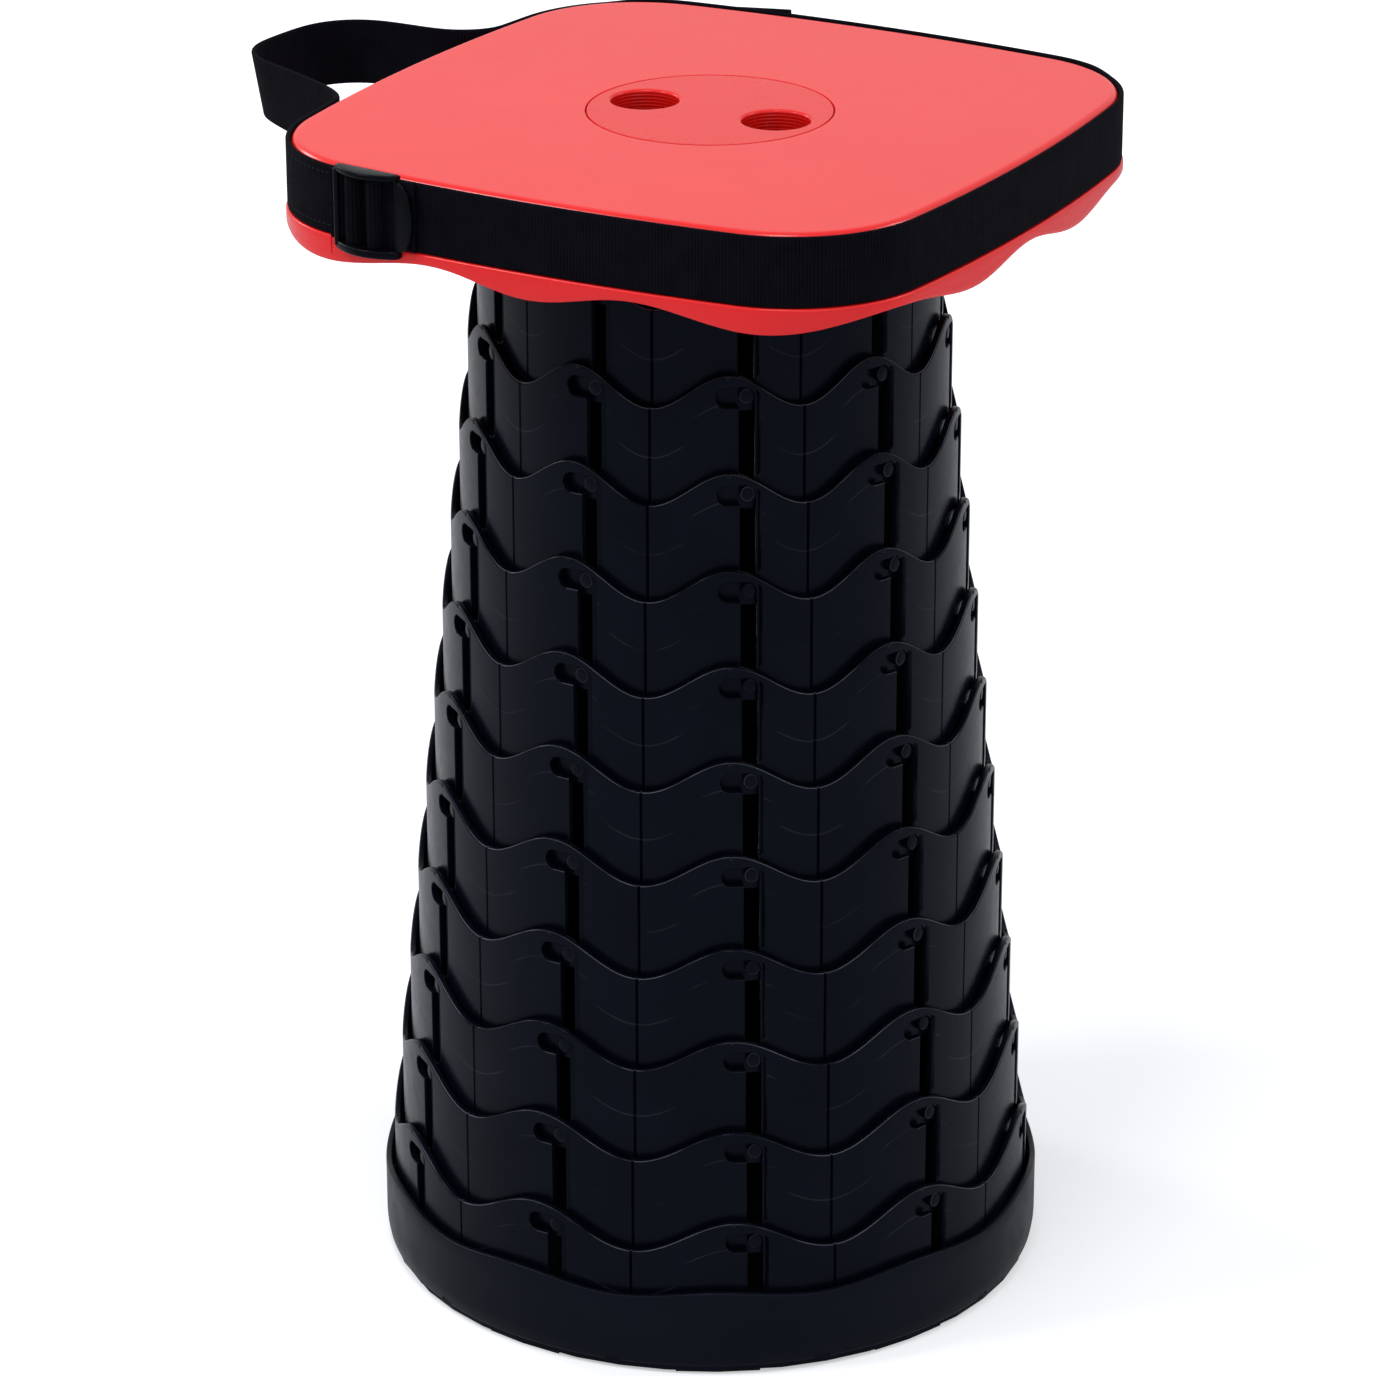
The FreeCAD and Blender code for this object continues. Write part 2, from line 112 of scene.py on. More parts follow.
def roundedBox(width, height, radius, steps):
    # Outline of a rectangle with rounded corners about its centre, anticlockwise
    turns = np.radians(np.linspace(0, 90, steps + 1))
    outline = []
    for corner, (sideX, sideY) in enumerate(((1, 1), (-1, 1), (-1, -1), (1, -1))):
        arc = turns + math.radians(90 * corner)
        x = sideX * (width / 2 - radius) + radius * np.cos(arc)
        y = sideY * (height / 2 - radius) + radius * np.sin(arc)
        outline.append(np.stack([x, y], axis=-1))
    return np.concatenate(outline)


def makePiece(name, parts, body, material, nodes=(), sharpAngle=38.0):
    # Joins the parts in one mesh, welds their edges, turns the faces outwards and hangs it on its body. A
    # part is its points, its four-cornered faces and the points' places on the UV map
    allPoints, allQuads, allUv = zip(*parts)
    starts = np.cumsum([0] + [len(points) for points in allPoints])
    points = np.concatenate(allPoints) * mm
    quads = np.concatenate([quads + start for quads, start in zip(allQuads, starts)])
    uv = np.concatenate(allUv)
    mesh = bpy.data.meshes.new(name)
    mesh.vertices.add(len(points))
    mesh.vertices.foreach_set("co", points.ravel())
    mesh.loops.add(quads.size)
    mesh.loops.foreach_set("vertex_index", quads.ravel().astype(np.int32))
    mesh.polygons.add(len(quads))
    mesh.polygons.foreach_set("loop_start", np.arange(0, quads.size, 4, dtype=np.int32))
    mesh.update(calc_edges=True)
    uvLayer = mesh.uv_layers.new(name="UVMap")
    uvLayer.data.foreach_set("uv", uv[quads.ravel()].ravel())
    work = bmesh.new()
    work.from_mesh(mesh)
    bmesh.ops.delete(work, geom=[corner for corner in work.verts if not corner.link_faces], context="VERTS")
    bmesh.ops.remove_doubles(work, verts=work.verts, dist=2e-6)
    bmesh.ops.dissolve_degenerate(work, edges=work.edges, dist=1e-7)
    bmesh.ops.recalc_face_normals(work, faces=work.faces)
    work.to_mesh(mesh)
    work.free()
    mesh.shade_smooth()
    mesh.set_sharp_from_angle(angle=math.radians(sharpAngle))
    mesh.materials.append(material)
    piece = bpy.data.objects.new(name, mesh)
    bpy.context.scene.collection.objects.link(piece)
    if nodes:
        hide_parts(*nodes)
    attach(piece, body)
    return piece


# Materials. Each noise has its detail and roughness; one unit of a webbing's UV map is 10 mm
plasticStyle = {
    "patchNoise": (3.0, 0.55),
    "smearNoise": (6.0, 0.7),
    "smearShare": 0.23,
    "grainNoise": (2.0, 0.5),
    "noiseRange": (0.3, 0.7),
    # The marks along lines of the UV map are real rub lines on the rings, and also painted highlights and
    # painted shade
    "rubAndPaintedLightEdge": (0.012, 0.04),
    "rubAndPaintedLightGaps": (0.4, 0.58),
    "grainHeight": 0.00008,
}
webbingStyle = {
    "ribPitch": 1.25,
    "threadPitch": 0.9,
    "threadShare": 0.3,
    "cloudScale": 1.1,
    "cloudNoise": (5.0, 0.65),
    "lintScale": 24.0,
    "lintNoise": (3.0, 0.7),
    "lintShare": 0.5,
    "weaveTint": 0.22,
    "roughness": (0.72, 0.95),
    "specular": 0.04,
    "bump": (0.55, 0.00012),
}
white = (1.0, 1.0, 1.0)
cool = (0.72, 0.82, 1.0)
full = (0.0, 1.0)


def addNode(tree, kind, inputs=None, **settings):
    # A node with these settings; an input is given a number, a colour or another node's output
    node = tree.nodes.new(kind)
    for key, value in settings.items():
        setattr(node, key, value)
    for key, value in (inputs or {}).items():
        if isinstance(value, bpy.types.NodeSocket):
            tree.links.new(value, node.inputs[key])
        else:
            node.inputs[key].default_value = value
    return node


def calculated(tree, operation, *values):
    # A calculation on numbers and other nodes' outputs
    return addNode(tree, "ShaderNodeMath", dict(enumerate(values)), operation=operation).outputs[0]


def remapped(tree, value, fromRange, toRange):
    # One range carried to another in proportion, and held at its ends
    inputs = {"Value": value, "From Min": fromRange[0], "From Max": fromRange[1], "To Min": toRange[0],
              "To Max": toRange[1]}
    return addNode(tree, "ShaderNodeMapRange", inputs).outputs["Result"]


def mixed(tree, share, first, second):
    # Two colours, each three numbers or an output, mixed by the share of the second
    first, second = [(*value, 1) if isinstance(value, tuple) else value for value in (first, second)]
    mix = addNode(tree, "ShaderNodeMix", {"Factor": share, "A": first, "B": second}, data_type="RGBA")
    return mix.outputs["Result"]


def noise(tree, place, scale, detail, roughness):
    # Cloudy values from 0 to 1
    inputs = {"Vector": place, "Scale": scale, "Detail": detail, "Roughness": roughness}
    return addNode(tree, "ShaderNodeTexNoise", inputs).outputs["Fac"]


def newMaterial(name):
    # A material with no nodes yet, and its node tree
    material = bpy.data.materials.new(name)
    material.use_nodes = True
    material.node_tree.nodes.clear()
    return material, material.node_tree


def surface(tree, color, roughness, specular, tint, height, strength, distance):
    # The material's shader, with bumps of this height
    bump = addNode(tree, "ShaderNodeBump", {"Height": height, "Strength": strength, "Distance": distance})
    shader = addNode(tree, "ShaderNodeBsdfPrincipled", {
        "Base Color": color, "Roughness": roughness, "Specular IOR Level": specular,
        "Specular Tint": (*tint, 1), "Normal": bump.outputs["Normal"]})
    addNode(tree, "ShaderNodeOutputMaterial", {"Surface": shader.outputs["BSDF"]})


def mouldedPlastic(name, light, dark, roughness, spread, specular, sheen, grain, grainSize, patchSize,
                   rubAndPaintedLight=None):
    # Moulded plastic: slow drifts of colour, a gloss that varies in patches, and a fine moulded grain, with
    # their sizes in millimetres. A piece given a second colour has it where its UV map's second value is
    # zero, as strongly as the first value says; on the rings this is partly real rub lines and partly
    # painted highlights, and in the disc's finger holes it is painted shade
    material, tree = newMaterial(name)
    place = addNode(tree, "ShaderNodeTexCoord").outputs["Object"]
    style = plasticStyle
    patches = noise(tree, place, 1000.0 / patchSize, *style["patchNoise"])
    smears = noise(tree, place, 1000.0 / (patchSize * style["smearShare"]), *style["smearNoise"])
    fine = noise(tree, place, 1000.0 / grainSize, *style["grainNoise"])
    color = mixed(tree, remapped(tree, patches, style["noiseRange"], full), dark, light)
    if rubAndPaintedLight:
        mapped = addNode(tree, "ShaderNodeUVMap", uv_map="UVMap").outputs["UV"]
        split = addNode(tree, "ShaderNodeSeparateXYZ", {"Vector": mapped})
        away = calculated(tree, "ABSOLUTE", split.outputs["Y"])
        line = remapped(tree, away, style["rubAndPaintedLightEdge"], full[::-1])
        broken = calculated(tree, "MULTIPLY", line, remapped(tree, patches, style["rubAndPaintedLightGaps"], full))
        color = mixed(tree, calculated(tree, "MULTIPLY", broken, split.outputs["X"]), color, rubAndPaintedLight)
    gloss = remapped(tree, smears, style["noiseRange"], (roughness - spread, roughness + spread))
    surface(tree, color, gloss, specular, sheen, fine, grain, style["grainHeight"])
    return material


def wovenWebbing(name, light, dark):
    # Ribs across the strap, and threads that cross them
    style = webbingStyle
    material, tree = newMaterial(name)
    place = addNode(tree, "ShaderNodeUVMap", uv_map="UVMap").outputs["UV"]
    split = addNode(tree, "ShaderNodeSeparateXYZ", {"Vector": place})
    along = calculated(tree, "MULTIPLY", split.outputs["X"], 20.0 * math.pi / style["ribPitch"])
    ribs = calculated(tree, "SINE", along)
    shift = calculated(tree, "MULTIPLY", calculated(tree, "SIGN", ribs), math.pi / 2)
    across = calculated(tree, "MULTIPLY", split.outputs["Y"], 20.0 * math.pi / style["threadPitch"])
    threads = calculated(tree, "SINE", calculated(tree, "ADD", across, shift))
    weave = calculated(tree, "MULTIPLY_ADD", threads, style["threadShare"], ribs)
    cloud = noise(tree, place, style["cloudScale"], *style["cloudNoise"])
    lint = noise(tree, place, style["lintScale"], *style["lintNoise"])
    color = mixed(tree, calculated(tree, "MULTIPLY_ADD", weave, style["weaveTint"], cloud), dark, light)
    gloss = remapped(tree, lint, full, style["roughness"])
    relief = calculated(tree, "MULTIPLY_ADD", lint, style["lintShare"], weave)
    surface(tree, color, gloss, style["specular"], white, relief, *style["bump"])
    return material


seatRed = mouldedPlastic(
    "coralRedPlastic", light=(0.86, 0.0175, 0.0195), dark=(0.83, 0.015, 0.017), roughness=0.24, spread=0.02,
    specular=0.33, sheen=white, grain=0.15, grainSize=0.5, patchSize=60)
# The disc's second colour is painted shade: a darker, deeper red inside the finger holes' tubes
discRed = mouldedPlastic(
    "deeperRedPlastic", light=(0.8, 0.012, 0.0135), dark=(0.77, 0.0105, 0.0115), roughness=0.27, spread=0.02,
    specular=0.3, sheen=white, grain=0.05, grainSize=0.5, patchSize=40, rubAndPaintedLight=(0.62, 0.006, 0.004))
# The rings' second colour is real rub lines, and also painted highlights on the wave edges, pin and nub
# edges and slot bevels
ringBlack = mouldedPlastic(
    "satinBlackPlastic", light=(0.0022, 0.0033, 0.0072), dark=(0.0014, 0.0022, 0.0052), roughness=0.25,
    spread=0.05, specular=0.075, sheen=cool, grain=0.22, grainSize=0.45, patchSize=30,
    rubAndPaintedLight=(0.065, 0.07, 0.085))
baseBlack = mouldedPlastic(
    "mattBlackPlastic", light=(0.0024, 0.0035, 0.0074), dark=(0.0016, 0.0025, 0.0054), roughness=0.34,
    spread=0.07, specular=0.095, sheen=cool, grain=0.35, grainSize=0.4, patchSize=45)
footRubber = mouldedPlastic(
    "footRubber", light=(0.012, 0.012, 0.013), dark=(0.007, 0.007, 0.008), roughness=0.8, spread=0.07,
    specular=0.2, sheen=cool, grain=0.6, grainSize=0.8, patchSize=12)
buckleBlack = mouldedPlastic(
    "bucklePlastic", light=(0.0024, 0.0025, 0.0042), dark=(0.0015, 0.0016, 0.0028), roughness=0.26,
    spread=0.07, specular=0.075, sheen=cool, grain=0.3, grainSize=0.3, patchSize=10)
webbing = wovenWebbing("blackWebbing", light=(0.0056, 0.0055, 0.0104), dark=(0.0005, 0.0005, 0.0011))
thread = mouldedPlastic(
    "stitchingThread", light=(0.017, 0.018, 0.022), dark=(0.009, 0.01, 0.014), roughness=0.75, spread=0.07,
    specular=0.05, sheen=cool, grain=0.8, grainSize=0.25, patchSize=3)
print("materials made")


# Rings: a tube with a wavy top edge, seams at the low points, hooked slots, and pins below them. Places
# across a sector are measured from its flat direction, and heights from the crest of the wave
ringStyle = {
    "height": 49.9029,
    "waveHeight": 12.8,
    "crestAngle": 15.3,
    "edgeRound": 0.7,
    "edgePaintedHighlight": (0.5, 1.3),
    "bottomRound": 0.4,
    "pocketCentre": -4.15,
    "pocketRadius": 3.75,
    "runLeft": 0.3,
    "runRight": 6.1,
    "runCorner": 1.0,
    "runEndBelowCrest": 39.65,
    "ledgeWidth": 1.7,
    "ledgeDepth": 1.0,
    "ledgeAcross": (3.4, 6.2),
    "ledgeTop": (-6.4, -4.4),
    "ledgeEnd": (-37.8, -36.2),
    "ledgeTilt": 0.1,
    "slotBevel": 0.3,
    "bevelDepths": (0.12, 0.3),
    "bevelPaintedHighlight": 0.16,
    "stepShare": 0.25,
    "seamHalfWidth": 0.55,
    "seamDepth": 1.0,
    "seamShares": (0.0, 0.45, 1.0),
    "straightReach": (11.0, 16.0),
    "fineReach": 9.8,
    "fineStep": 0.7,
    "coarseStep": 2.4,
    "fineRows": (1.2, 14.6),
    "lowRows": (36.6, 37.4, 38.2, 39.0, 39.8, 40.6, 42.5, 46.5, 46.9, 49.4),
    "pinCentre": 3.2,
    "pinRadius": 2.7,
    "pinRecess": 1.0,
    "pinFoot": 0.45,
    "pinTall": 0.24,
    "pinEnd": ((1.0, -1.0), (0.95, -0.4), (0.84, 0.0), (0.45, 0.24), (0.0, 0.3)),  # width, rise
    "lowestPinReach": 1.95,
    "grooveSkin": 0.55,
    "grooveAcross": (-0.2, 6.5),
    "grooveHeight": (-46.6, -37.9),
    "nubRadius": 0.6,
    "nubReach": 0.2,
    "nubBelowCrest": 0.8,
    "nubRound": 0.2,
    "nubPaintedHighlight": 4,
    "crestRub": 10.5,
    "troughRub": 18.5,
    "rubFade": 0.38,
    "rubStrength": 0.22,
}


def slotGap(across, height):
    # Distance to the slot's outline, less than zero inside it: a level pocket with round ends joined to
    # an upright run, both measured from the crest of the wave
    style = ringStyle
    middle = -stool["pinBelowCrest"]
    radius, corner = style["pocketRadius"], style["runCorner"]
    nearest = np.clip(across, style["pocketCentre"], style["runRight"] - radius)
    pocket = np.hypot(across - nearest, height - middle) - radius
    halfWidth = (style["runRight"] - style["runLeft"]) / 2
    halfHeight = (style["runEndBelowCrest"] + middle) / 2
    besideRun = np.abs(across - style["runLeft"] - halfWidth) - halfWidth + corner
    aboveRun = np.abs(height + style["runEndBelowCrest"] - halfHeight) - halfHeight + corner
    outside = np.hypot(np.maximum(besideRun, 0), np.maximum(aboveRun, 0))
    run = outside + np.minimum(np.maximum(besideRun, aboveRun), 0) - corner
    return np.minimum(pocket, run)


def ledgeShare(across, height):
    # 1 along the right side of the slot, where a lowered ledge runs, and 0 elsewhere
    beside = smoothStep(*ringStyle["ledgeAcross"], across)
    below = 1 - smoothStep(*ringStyle["ledgeTop"], height)
    return beside * below * smoothStep(*ringStyle["ledgeEnd"], height)


def slotMouth(across, height):
    # Distance to the slot's mouth on the outer face, which is wider than the slot by its bevel and ledge
    wider = ringStyle["slotBevel"] + ringStyle["ledgeWidth"] * ledgeShare(across, height)
    return slotGap(across, height) - wider


def snapped(across, height, gap, steps=4):
    # Moves points along the slope of the gap until it is zero
    small = 0.01
    for _ in range(steps):
        value = gap(across, height)
        slopeAcross = (gap(across + small, height) - gap(across - small, height)) / (2 * small)
        slopeUp = (gap(across, height + small) - gap(across, height - small)) / (2 * small)
        length = np.maximum(slopeAcross ** 2 + slopeUp ** 2, 0.3)
        across = across - value * slopeAcross / length
        height = height - value * slopeUp / length
    return across, height


def pinPart(radius, centreAcross, centreHeight, pinRadius, reach, rounding=0.5, sides=24, paintedHighlight=0.5):
    # A pin that stands on a ring's outer face: a round outline, longer towards its top, with a domed end and
    # a painted highlight on the rounded edge of its end
    foot = -ringStyle["pinFoot"]
    endWidths, endRises = np.array(ringStyle["pinEnd"]).T
    widths = pinRadius * np.concatenate([[0.0, 1.0], endWidths])[:, None]
    rises = np.concatenate([[foot, foot], reach + rounding * endRises])[:, None]
    turns = np.radians(np.arange(sides) * 360 / sides)
    tall = 1 + ringStyle["pinTall"] * smoothStep(0, 1, np.sin(turns))
    across = centreAcross + widths * np.cos(turns)
    height = centreHeight + widths * np.sin(turns) * tall
    out = math.sqrt(radius ** 2 - centreAcross ** 2) + rises + 0 * turns
    uv = clearOfRubAndPaintedLight(*out.shape)
    # The rounded edge of the end is painted lighter as a highlight
    uv[3:5] = (paintedHighlight, 0)
    return gridPart(np.stack([out, across, height], axis=-1), wrapColumns=True, uv=uv)


def ringGrid(radius):
    # One sector's columns, close together round the slot and at the seams, the wave's edge at each, the rows
    # below it, and how deep the seams sink
    style = ringStyle
    lead = stool["flatAngle"] - style["crestAngle"]
    firstTurn, lastTurn = -sectorAngle / 2 - lead, sectorAngle / 2 - lead
    fine = np.arange(-style["fineReach"], style["fineReach"] + 0.01, style["fineStep"])
    fineTurns = np.degrees(np.arcsin(fine / radius))
    seam = np.degrees(np.array(style["seamShares"]) * style["seamHalfWidth"] / radius)
    coarse = math.degrees(style["coarseStep"] / radius)
    leftCount = int((fineTurns[0] - firstTurn) / coarse) + 2
    rightCount = int((lastTurn - fineTurns[-1]) / coarse) + 2
    left = np.linspace(firstTurn + seam[-1], fineTurns[0], leftCount)[:-1]
    right = np.linspace(fineTurns[-1], lastTurn - seam[-1], rightCount)[1:]
    turns = np.concatenate([firstTurn + seam[:-1], left, fineTurns, right, lastTurn - seam[-2::-1]])
    edge = -style["waveHeight"] / 2 * (1 - np.cos(np.radians((turns + lead) * stool["columnCount"])))
    fromEdge = np.append(style["edgeRound"], np.arange(*style["fineRows"], style["fineStep"]))
    upper = edge - fromEdge[:, None]
    low = -np.array(style["lowRows"])[:, None]
    shares = np.linspace(0, 1, 8)[1:-1, None]
    height = np.concatenate([upper, upper[-1] * (1 - shares) + low[0] * shares, low + 0 * edge])
    seamGap = np.minimum(turns - firstTurn, lastTurn - turns) * math.pi / 180 * radius
    seamSink = style["seamDepth"] * np.clip(1 - seamGap / style["seamHalfWidth"], 0, 1)
    return radius * np.sin(np.radians(turns)), edge, height, seamSink


def wallPoints(radius, across, height, depth):
    # Points in the wall at this depth below its outer face. The inner face is straight behind the outer one
    # near the slot, and on the same radius away from it
    wall = stool["ringWall"]
    innerRadius = radius - wall
    away = smoothStep(*ringStyle["straightReach"], np.abs(across))
    behind, spread = np.arcsin(np.clip(across / innerRadius, -1, 1)), np.arcsin(across / radius)
    turn = (1 - away) * behind + away * spread
    outer = np.stack([np.sqrt(radius ** 2 - across ** 2), across, height], axis=-1)
    inner = np.stack([innerRadius * np.cos(turn), innerRadius * np.sin(turn), height], axis=-1)
    # Behind its own pin the ring has a blind groove, which the next pin inwards slides into
    left, right = ringStyle["grooveAcross"]
    bottom, top = ringStyle["grooveHeight"]
    groove = (across > left) & (across < right) & (height > bottom) & (height < top)
    reach = np.where(groove, ringStyle["grooveSkin"] / wall, 1.0)[..., None]
    share = reach * (np.asarray(depth) / wall)[..., None]
    return outer * (1 - share) + inner * share


def slotWalls(kept, layers):
    # Walls that join the layers along every edge between a kept cell and one that is left out
    rows, columns = kept.shape[0] + 1, kept.shape[1] + 1
    numbers = np.arange(rows * columns).reshape(rows, columns)
    sideEdges = kept[:, 1:] != kept[:, :-1]
    levelEdges = kept[1:] != kept[:-1]
    starts = np.concatenate([numbers[:-1, 1:-1][sideEdges], numbers[1:-1, :-1][levelEdges]])
    ends = np.concatenate([numbers[1:, 1:-1][sideEdges], numbers[1:-1, 1:][levelEdges]])
    points = np.stack(layers).reshape(len(layers), -1, 3)[:, np.stack([starts, ends], axis=1).ravel()]
    uv = clearOfRubAndPaintedLight(*points.shape[:2])
    # The bevel round the slot's mouth is painted lighter as a highlight
    uv[:2] = (ringStyle["bevelPaintedHighlight"], 0)
    low = (np.arange(len(layers) - 1)[:, None] * len(starts) + np.arange(len(starts))) * 2
    high = low + len(starts) * 2
    quads = np.stack([low, low + 1, high + 1, high], axis=-1).reshape(-1, 4)
    return points.reshape(-1, 3), quads, uv.reshape(-1, 2)


def ringParts(index):
    # One sector of a ring, from seam to seam, as a closed shell; the flat direction lies along +X
    style = ringStyle
    radius = stool["topRingRadius"] + stool["ringPitch"] * index
    crest = stool["bottomRingCrest"] + stool["stageTravel"] * (stool["ringCount"] - 1 - index)
    wall, rounding = stool["ringWall"], style["edgeRound"]
    columnAcross, edge, height, seamSink = ringGrid(radius)
    across = columnAcross + 0 * height

    # Cells inside the slot's mouth are left out, and the points round them are drawn onto its outline
    cellAcross = (across[:-1, :-1] + across[1:, 1:] + across[1:, :-1] + across[:-1, 1:]) / 4
    cellHeight = (height[:-1, :-1] + height[1:, 1:] + height[1:, :-1] + height[:-1, 1:]) / 4
    kept = slotMouth(cellAcross, cellHeight) > 0
    padded = np.pad(kept, 1, mode="edge").astype(int)
    around = padded[:-1, :-1] + padded[1:, :-1] + padded[:-1, 1:] + padded[1:, 1:]
    onMouth = (around > 0) & (around < 4)
    mouthAcross, mouthHeight = np.where(onMouth, snapped(across, height, slotMouth), (across, height))
    slotAcross, slotHeight = np.where(onMouth, snapped(mouthAcross, mouthHeight, slotGap), (across, height))
    ledge = ledgeShare(mouthAcross, mouthHeight)
    nearer = style["stepShare"]
    stepAcross = mouthAcross * (1 - nearer) + slotAcross * nearer
    stepHeight = mouthHeight * (1 - nearer) + slotHeight * nearer
    outer = wallPoints(radius, mouthAcross, mouthHeight, seamSink + 0 * height)
    stepDepth, lipDepth = style["bevelDepths"]
    step = wallPoints(radius, stepAcross, stepHeight, stepDepth + style["ledgeDepth"] * ledge)
    lip = wallPoints(radius, slotAcross, slotHeight, lipDepth + style["ledgeTilt"] * ledge)
    inner = wallPoints(radius, slotAcross, slotHeight, wall + 0 * height)

    # Rub lines run at one distance below the crests and at another below the low points
    rub = np.where(edge < -style["waveHeight"] / 2, style["troughRub"], style["crestRub"])
    strength = smoothStep(0.0, style["rubFade"], np.abs(edge / style["waveHeight"] + 0.5) * 2)
    uv = np.stack([strength * style["rubStrength"] + 0 * height, (edge - height - rub) / 10], axis=-1)
    quads = gridQuads(*height.shape)[kept.ravel()]
    noUv = clearOfRubAndPaintedLight(height.size)
    parts = [(outer.reshape(-1, 3), quads, uv.reshape(-1, 2)), (inner.reshape(-1, 3), quads[:, ::-1], noUv)]

    # The rounded top edge and the bottom edge close the shell
    arc = np.radians([30, 60, 90, 90, 60, 30])[:, None]
    fromFace = rounding * (1 - np.cos(arc))
    outside = np.arange(6)[:, None] < 3
    depth = np.where(outside, fromFace + seamSink, wall - fromFace)
    rimHeight = edge - rounding * (1 - np.sin(arc))
    rim = wallPoints(radius, across[:1] + 0 * arc, rimHeight, np.clip(depth, 0, wall))
    top = np.concatenate([outer[:1], rim, inner[:1]])
    topUv = clearOfRubAndPaintedLight(*top.shape[:2])
    # The rounded top edge is painted lighter as a highlight, more strongly towards the low points of the
    # wave
    crestPaintedHighlight, extraPaintedHighlight = style["edgePaintedHighlight"]
    topUv[1:3, :, 0] = crestPaintedHighlight - extraPaintedHighlight * edge / style["waveHeight"]
    topUv[1:3, :, 1] = 0
    bottomDepths = np.array([style["bottomRound"], wall - style["bottomRound"]])[:, None] + 0 * edge
    under = wallPoints(radius, across[:2], -style["height"] + 0 * height[:2], bottomDepths)
    bottom = np.concatenate([outer[-1:], under, inner[-1:]])
    parts += [gridPart(top, uv=topUv), gridPart(bottom), slotWalls(kept, (outer, step, lip, inner))]

    last = index == stool["ringCount"] - 1
    reach = style["lowestPinReach"] if last else stool["ringPitch"] - style["pinRecess"]
    parts.append(pinPart(radius, style["pinCentre"], -stool["pinBelowOwnCrest"], style["pinRadius"], reach))
    # A small nub at the crest, whose edge is painted lighter as a highlight
    crestAcross = -radius * math.sin(math.radians(stool["flatAngle"] - style["crestAngle"]))
    parts.append(pinPart(radius, crestAcross, -style["nubBelowCrest"], style["nubRadius"], style["nubReach"],
                         rounding=style["nubRound"], sides=10, paintedHighlight=style["nubPaintedHighlight"]))
    raised = [(points + crest * upright, *rest) for points, *rest in parts]
    return repeatedAround(raised, stool["flatAngle"])


for index in range(stool["ringCount"]):
    ringName = "ring_%02d" % (index + 1)
    ringBody = "base" if index == stool["ringCount"] - 1 else ringName
    makePiece(ringName + "_moulding", ringParts(index), ringBody, ringBlack, (ringName,))
print("rings made")


# Seat: a closed profile carried round a square outline with bowed sides and round corners
seatStyle = {
    "halfWidth": 125.4,
    "sideRadius": 729.0,
    "cornerRadius": 48.6,
    "sideSteps": 34,
    "cornerSteps": 26,
    "plate": 3.0,
    "wall": 2.4,
    "wallOffset": 1.4,
    "wallMiddle": 12.0,
    "wallFoot": (0.4, 0.5),
    "edgeRound": 2.8,
    "edgeMargin": 0.8,
    "insideRound": 1.0,
    "lipOffset": 4.0,
    "lipTop": 424.2,
    "lipRound": 0.8,
    "lipTurns": (0, 22, 45, 68, 90),
    "lipInside": (-2.0, 1.0),
    "slitTurn": 259.1,
    "slitHalfWidth": 0.4,
    "slitDepth": 0.9,
    "slitEnd": 0.75,
    "skirtBottom": 414.6,
    "skirtWave": 5.6,
    "skirtShares": (0.3, 0.7, 0.8, 1.0),
    "hemRise": 0.9,
    "hem": ((0.2, 0.3), (0.8, 0.0)),
    "hemInside": 0.5,
    "ribCount": 10,
    "ribBottom": 442.0,
    "ribThickness": 1.8,
    "ribSink": 1.0,
    "ribStart": 1.5,
    "ribRound": 0.4,
    "opening": 45.2,
    "gapRound": (0.07, 0.25),
    "ledgeFoot": 48.0,
    "ledgeRound": 0.6,
    "ledgeInner": 41.4,
    "ledgeBottom": 444.4,
}


def outlineArcs():
    # Centre, radius and outward direction of every point round the seat: a flat arc for each side, and a
    # round one for each corner, which meet without a kink
    style = seatStyle
    sideCentre = style["halfWidth"] - style["sideRadius"]
    reach = style["sideRadius"] - style["cornerRadius"]
    corner = sideCentre / 2 + math.sqrt((reach ** 2 - sideCentre ** 2 / 2) / 2)
    sideEnd = math.degrees(math.atan2(corner, corner - sideCentre))
    slit = style["slitTurn"] + np.array([-1, 0, 1]) * style["slitHalfWidth"]
    centres, radii, turns = [], [], []
    for quarter in range(4):
        start = 90.0 * quarter
        side = start + np.linspace(-sideEnd, sideEnd, style["sideSteps"], endpoint=False)
        bend = start + np.linspace(sideEnd, 90 - sideEnd, style["cornerSteps"], endpoint=False)
        if bend[0] < style["slitTurn"] < bend[-1]:
            bend = np.sort(np.append(bend, slit))
        sideMiddle = polar(start, sideCentre, 0)[:2]
        cornerMiddle = (polar(start, corner, 0) + polar(start + 90, corner, 0))[:2]
        centres += [np.tile(sideMiddle, (len(side), 1)), np.tile(cornerMiddle, (len(bend), 1))]
        radii += [np.full(len(side), style["sideRadius"]), np.full(len(bend), style["cornerRadius"])]
        turns += [side, bend]
    return np.concatenate(centres), np.concatenate(radii), np.concatenate(turns), corner, sideEnd


arcCentres, arcRadii, arcTurns, seatCorner, seatSideEnd = outlineArcs()
arcDirections = polar(arcTurns, 1.0, 0)[:, :2]


def seatOutline(offset):
    # The seat's outline moved outwards by the offset
    return arcCentres + (arcRadii + offset)[:, None] * arcDirections


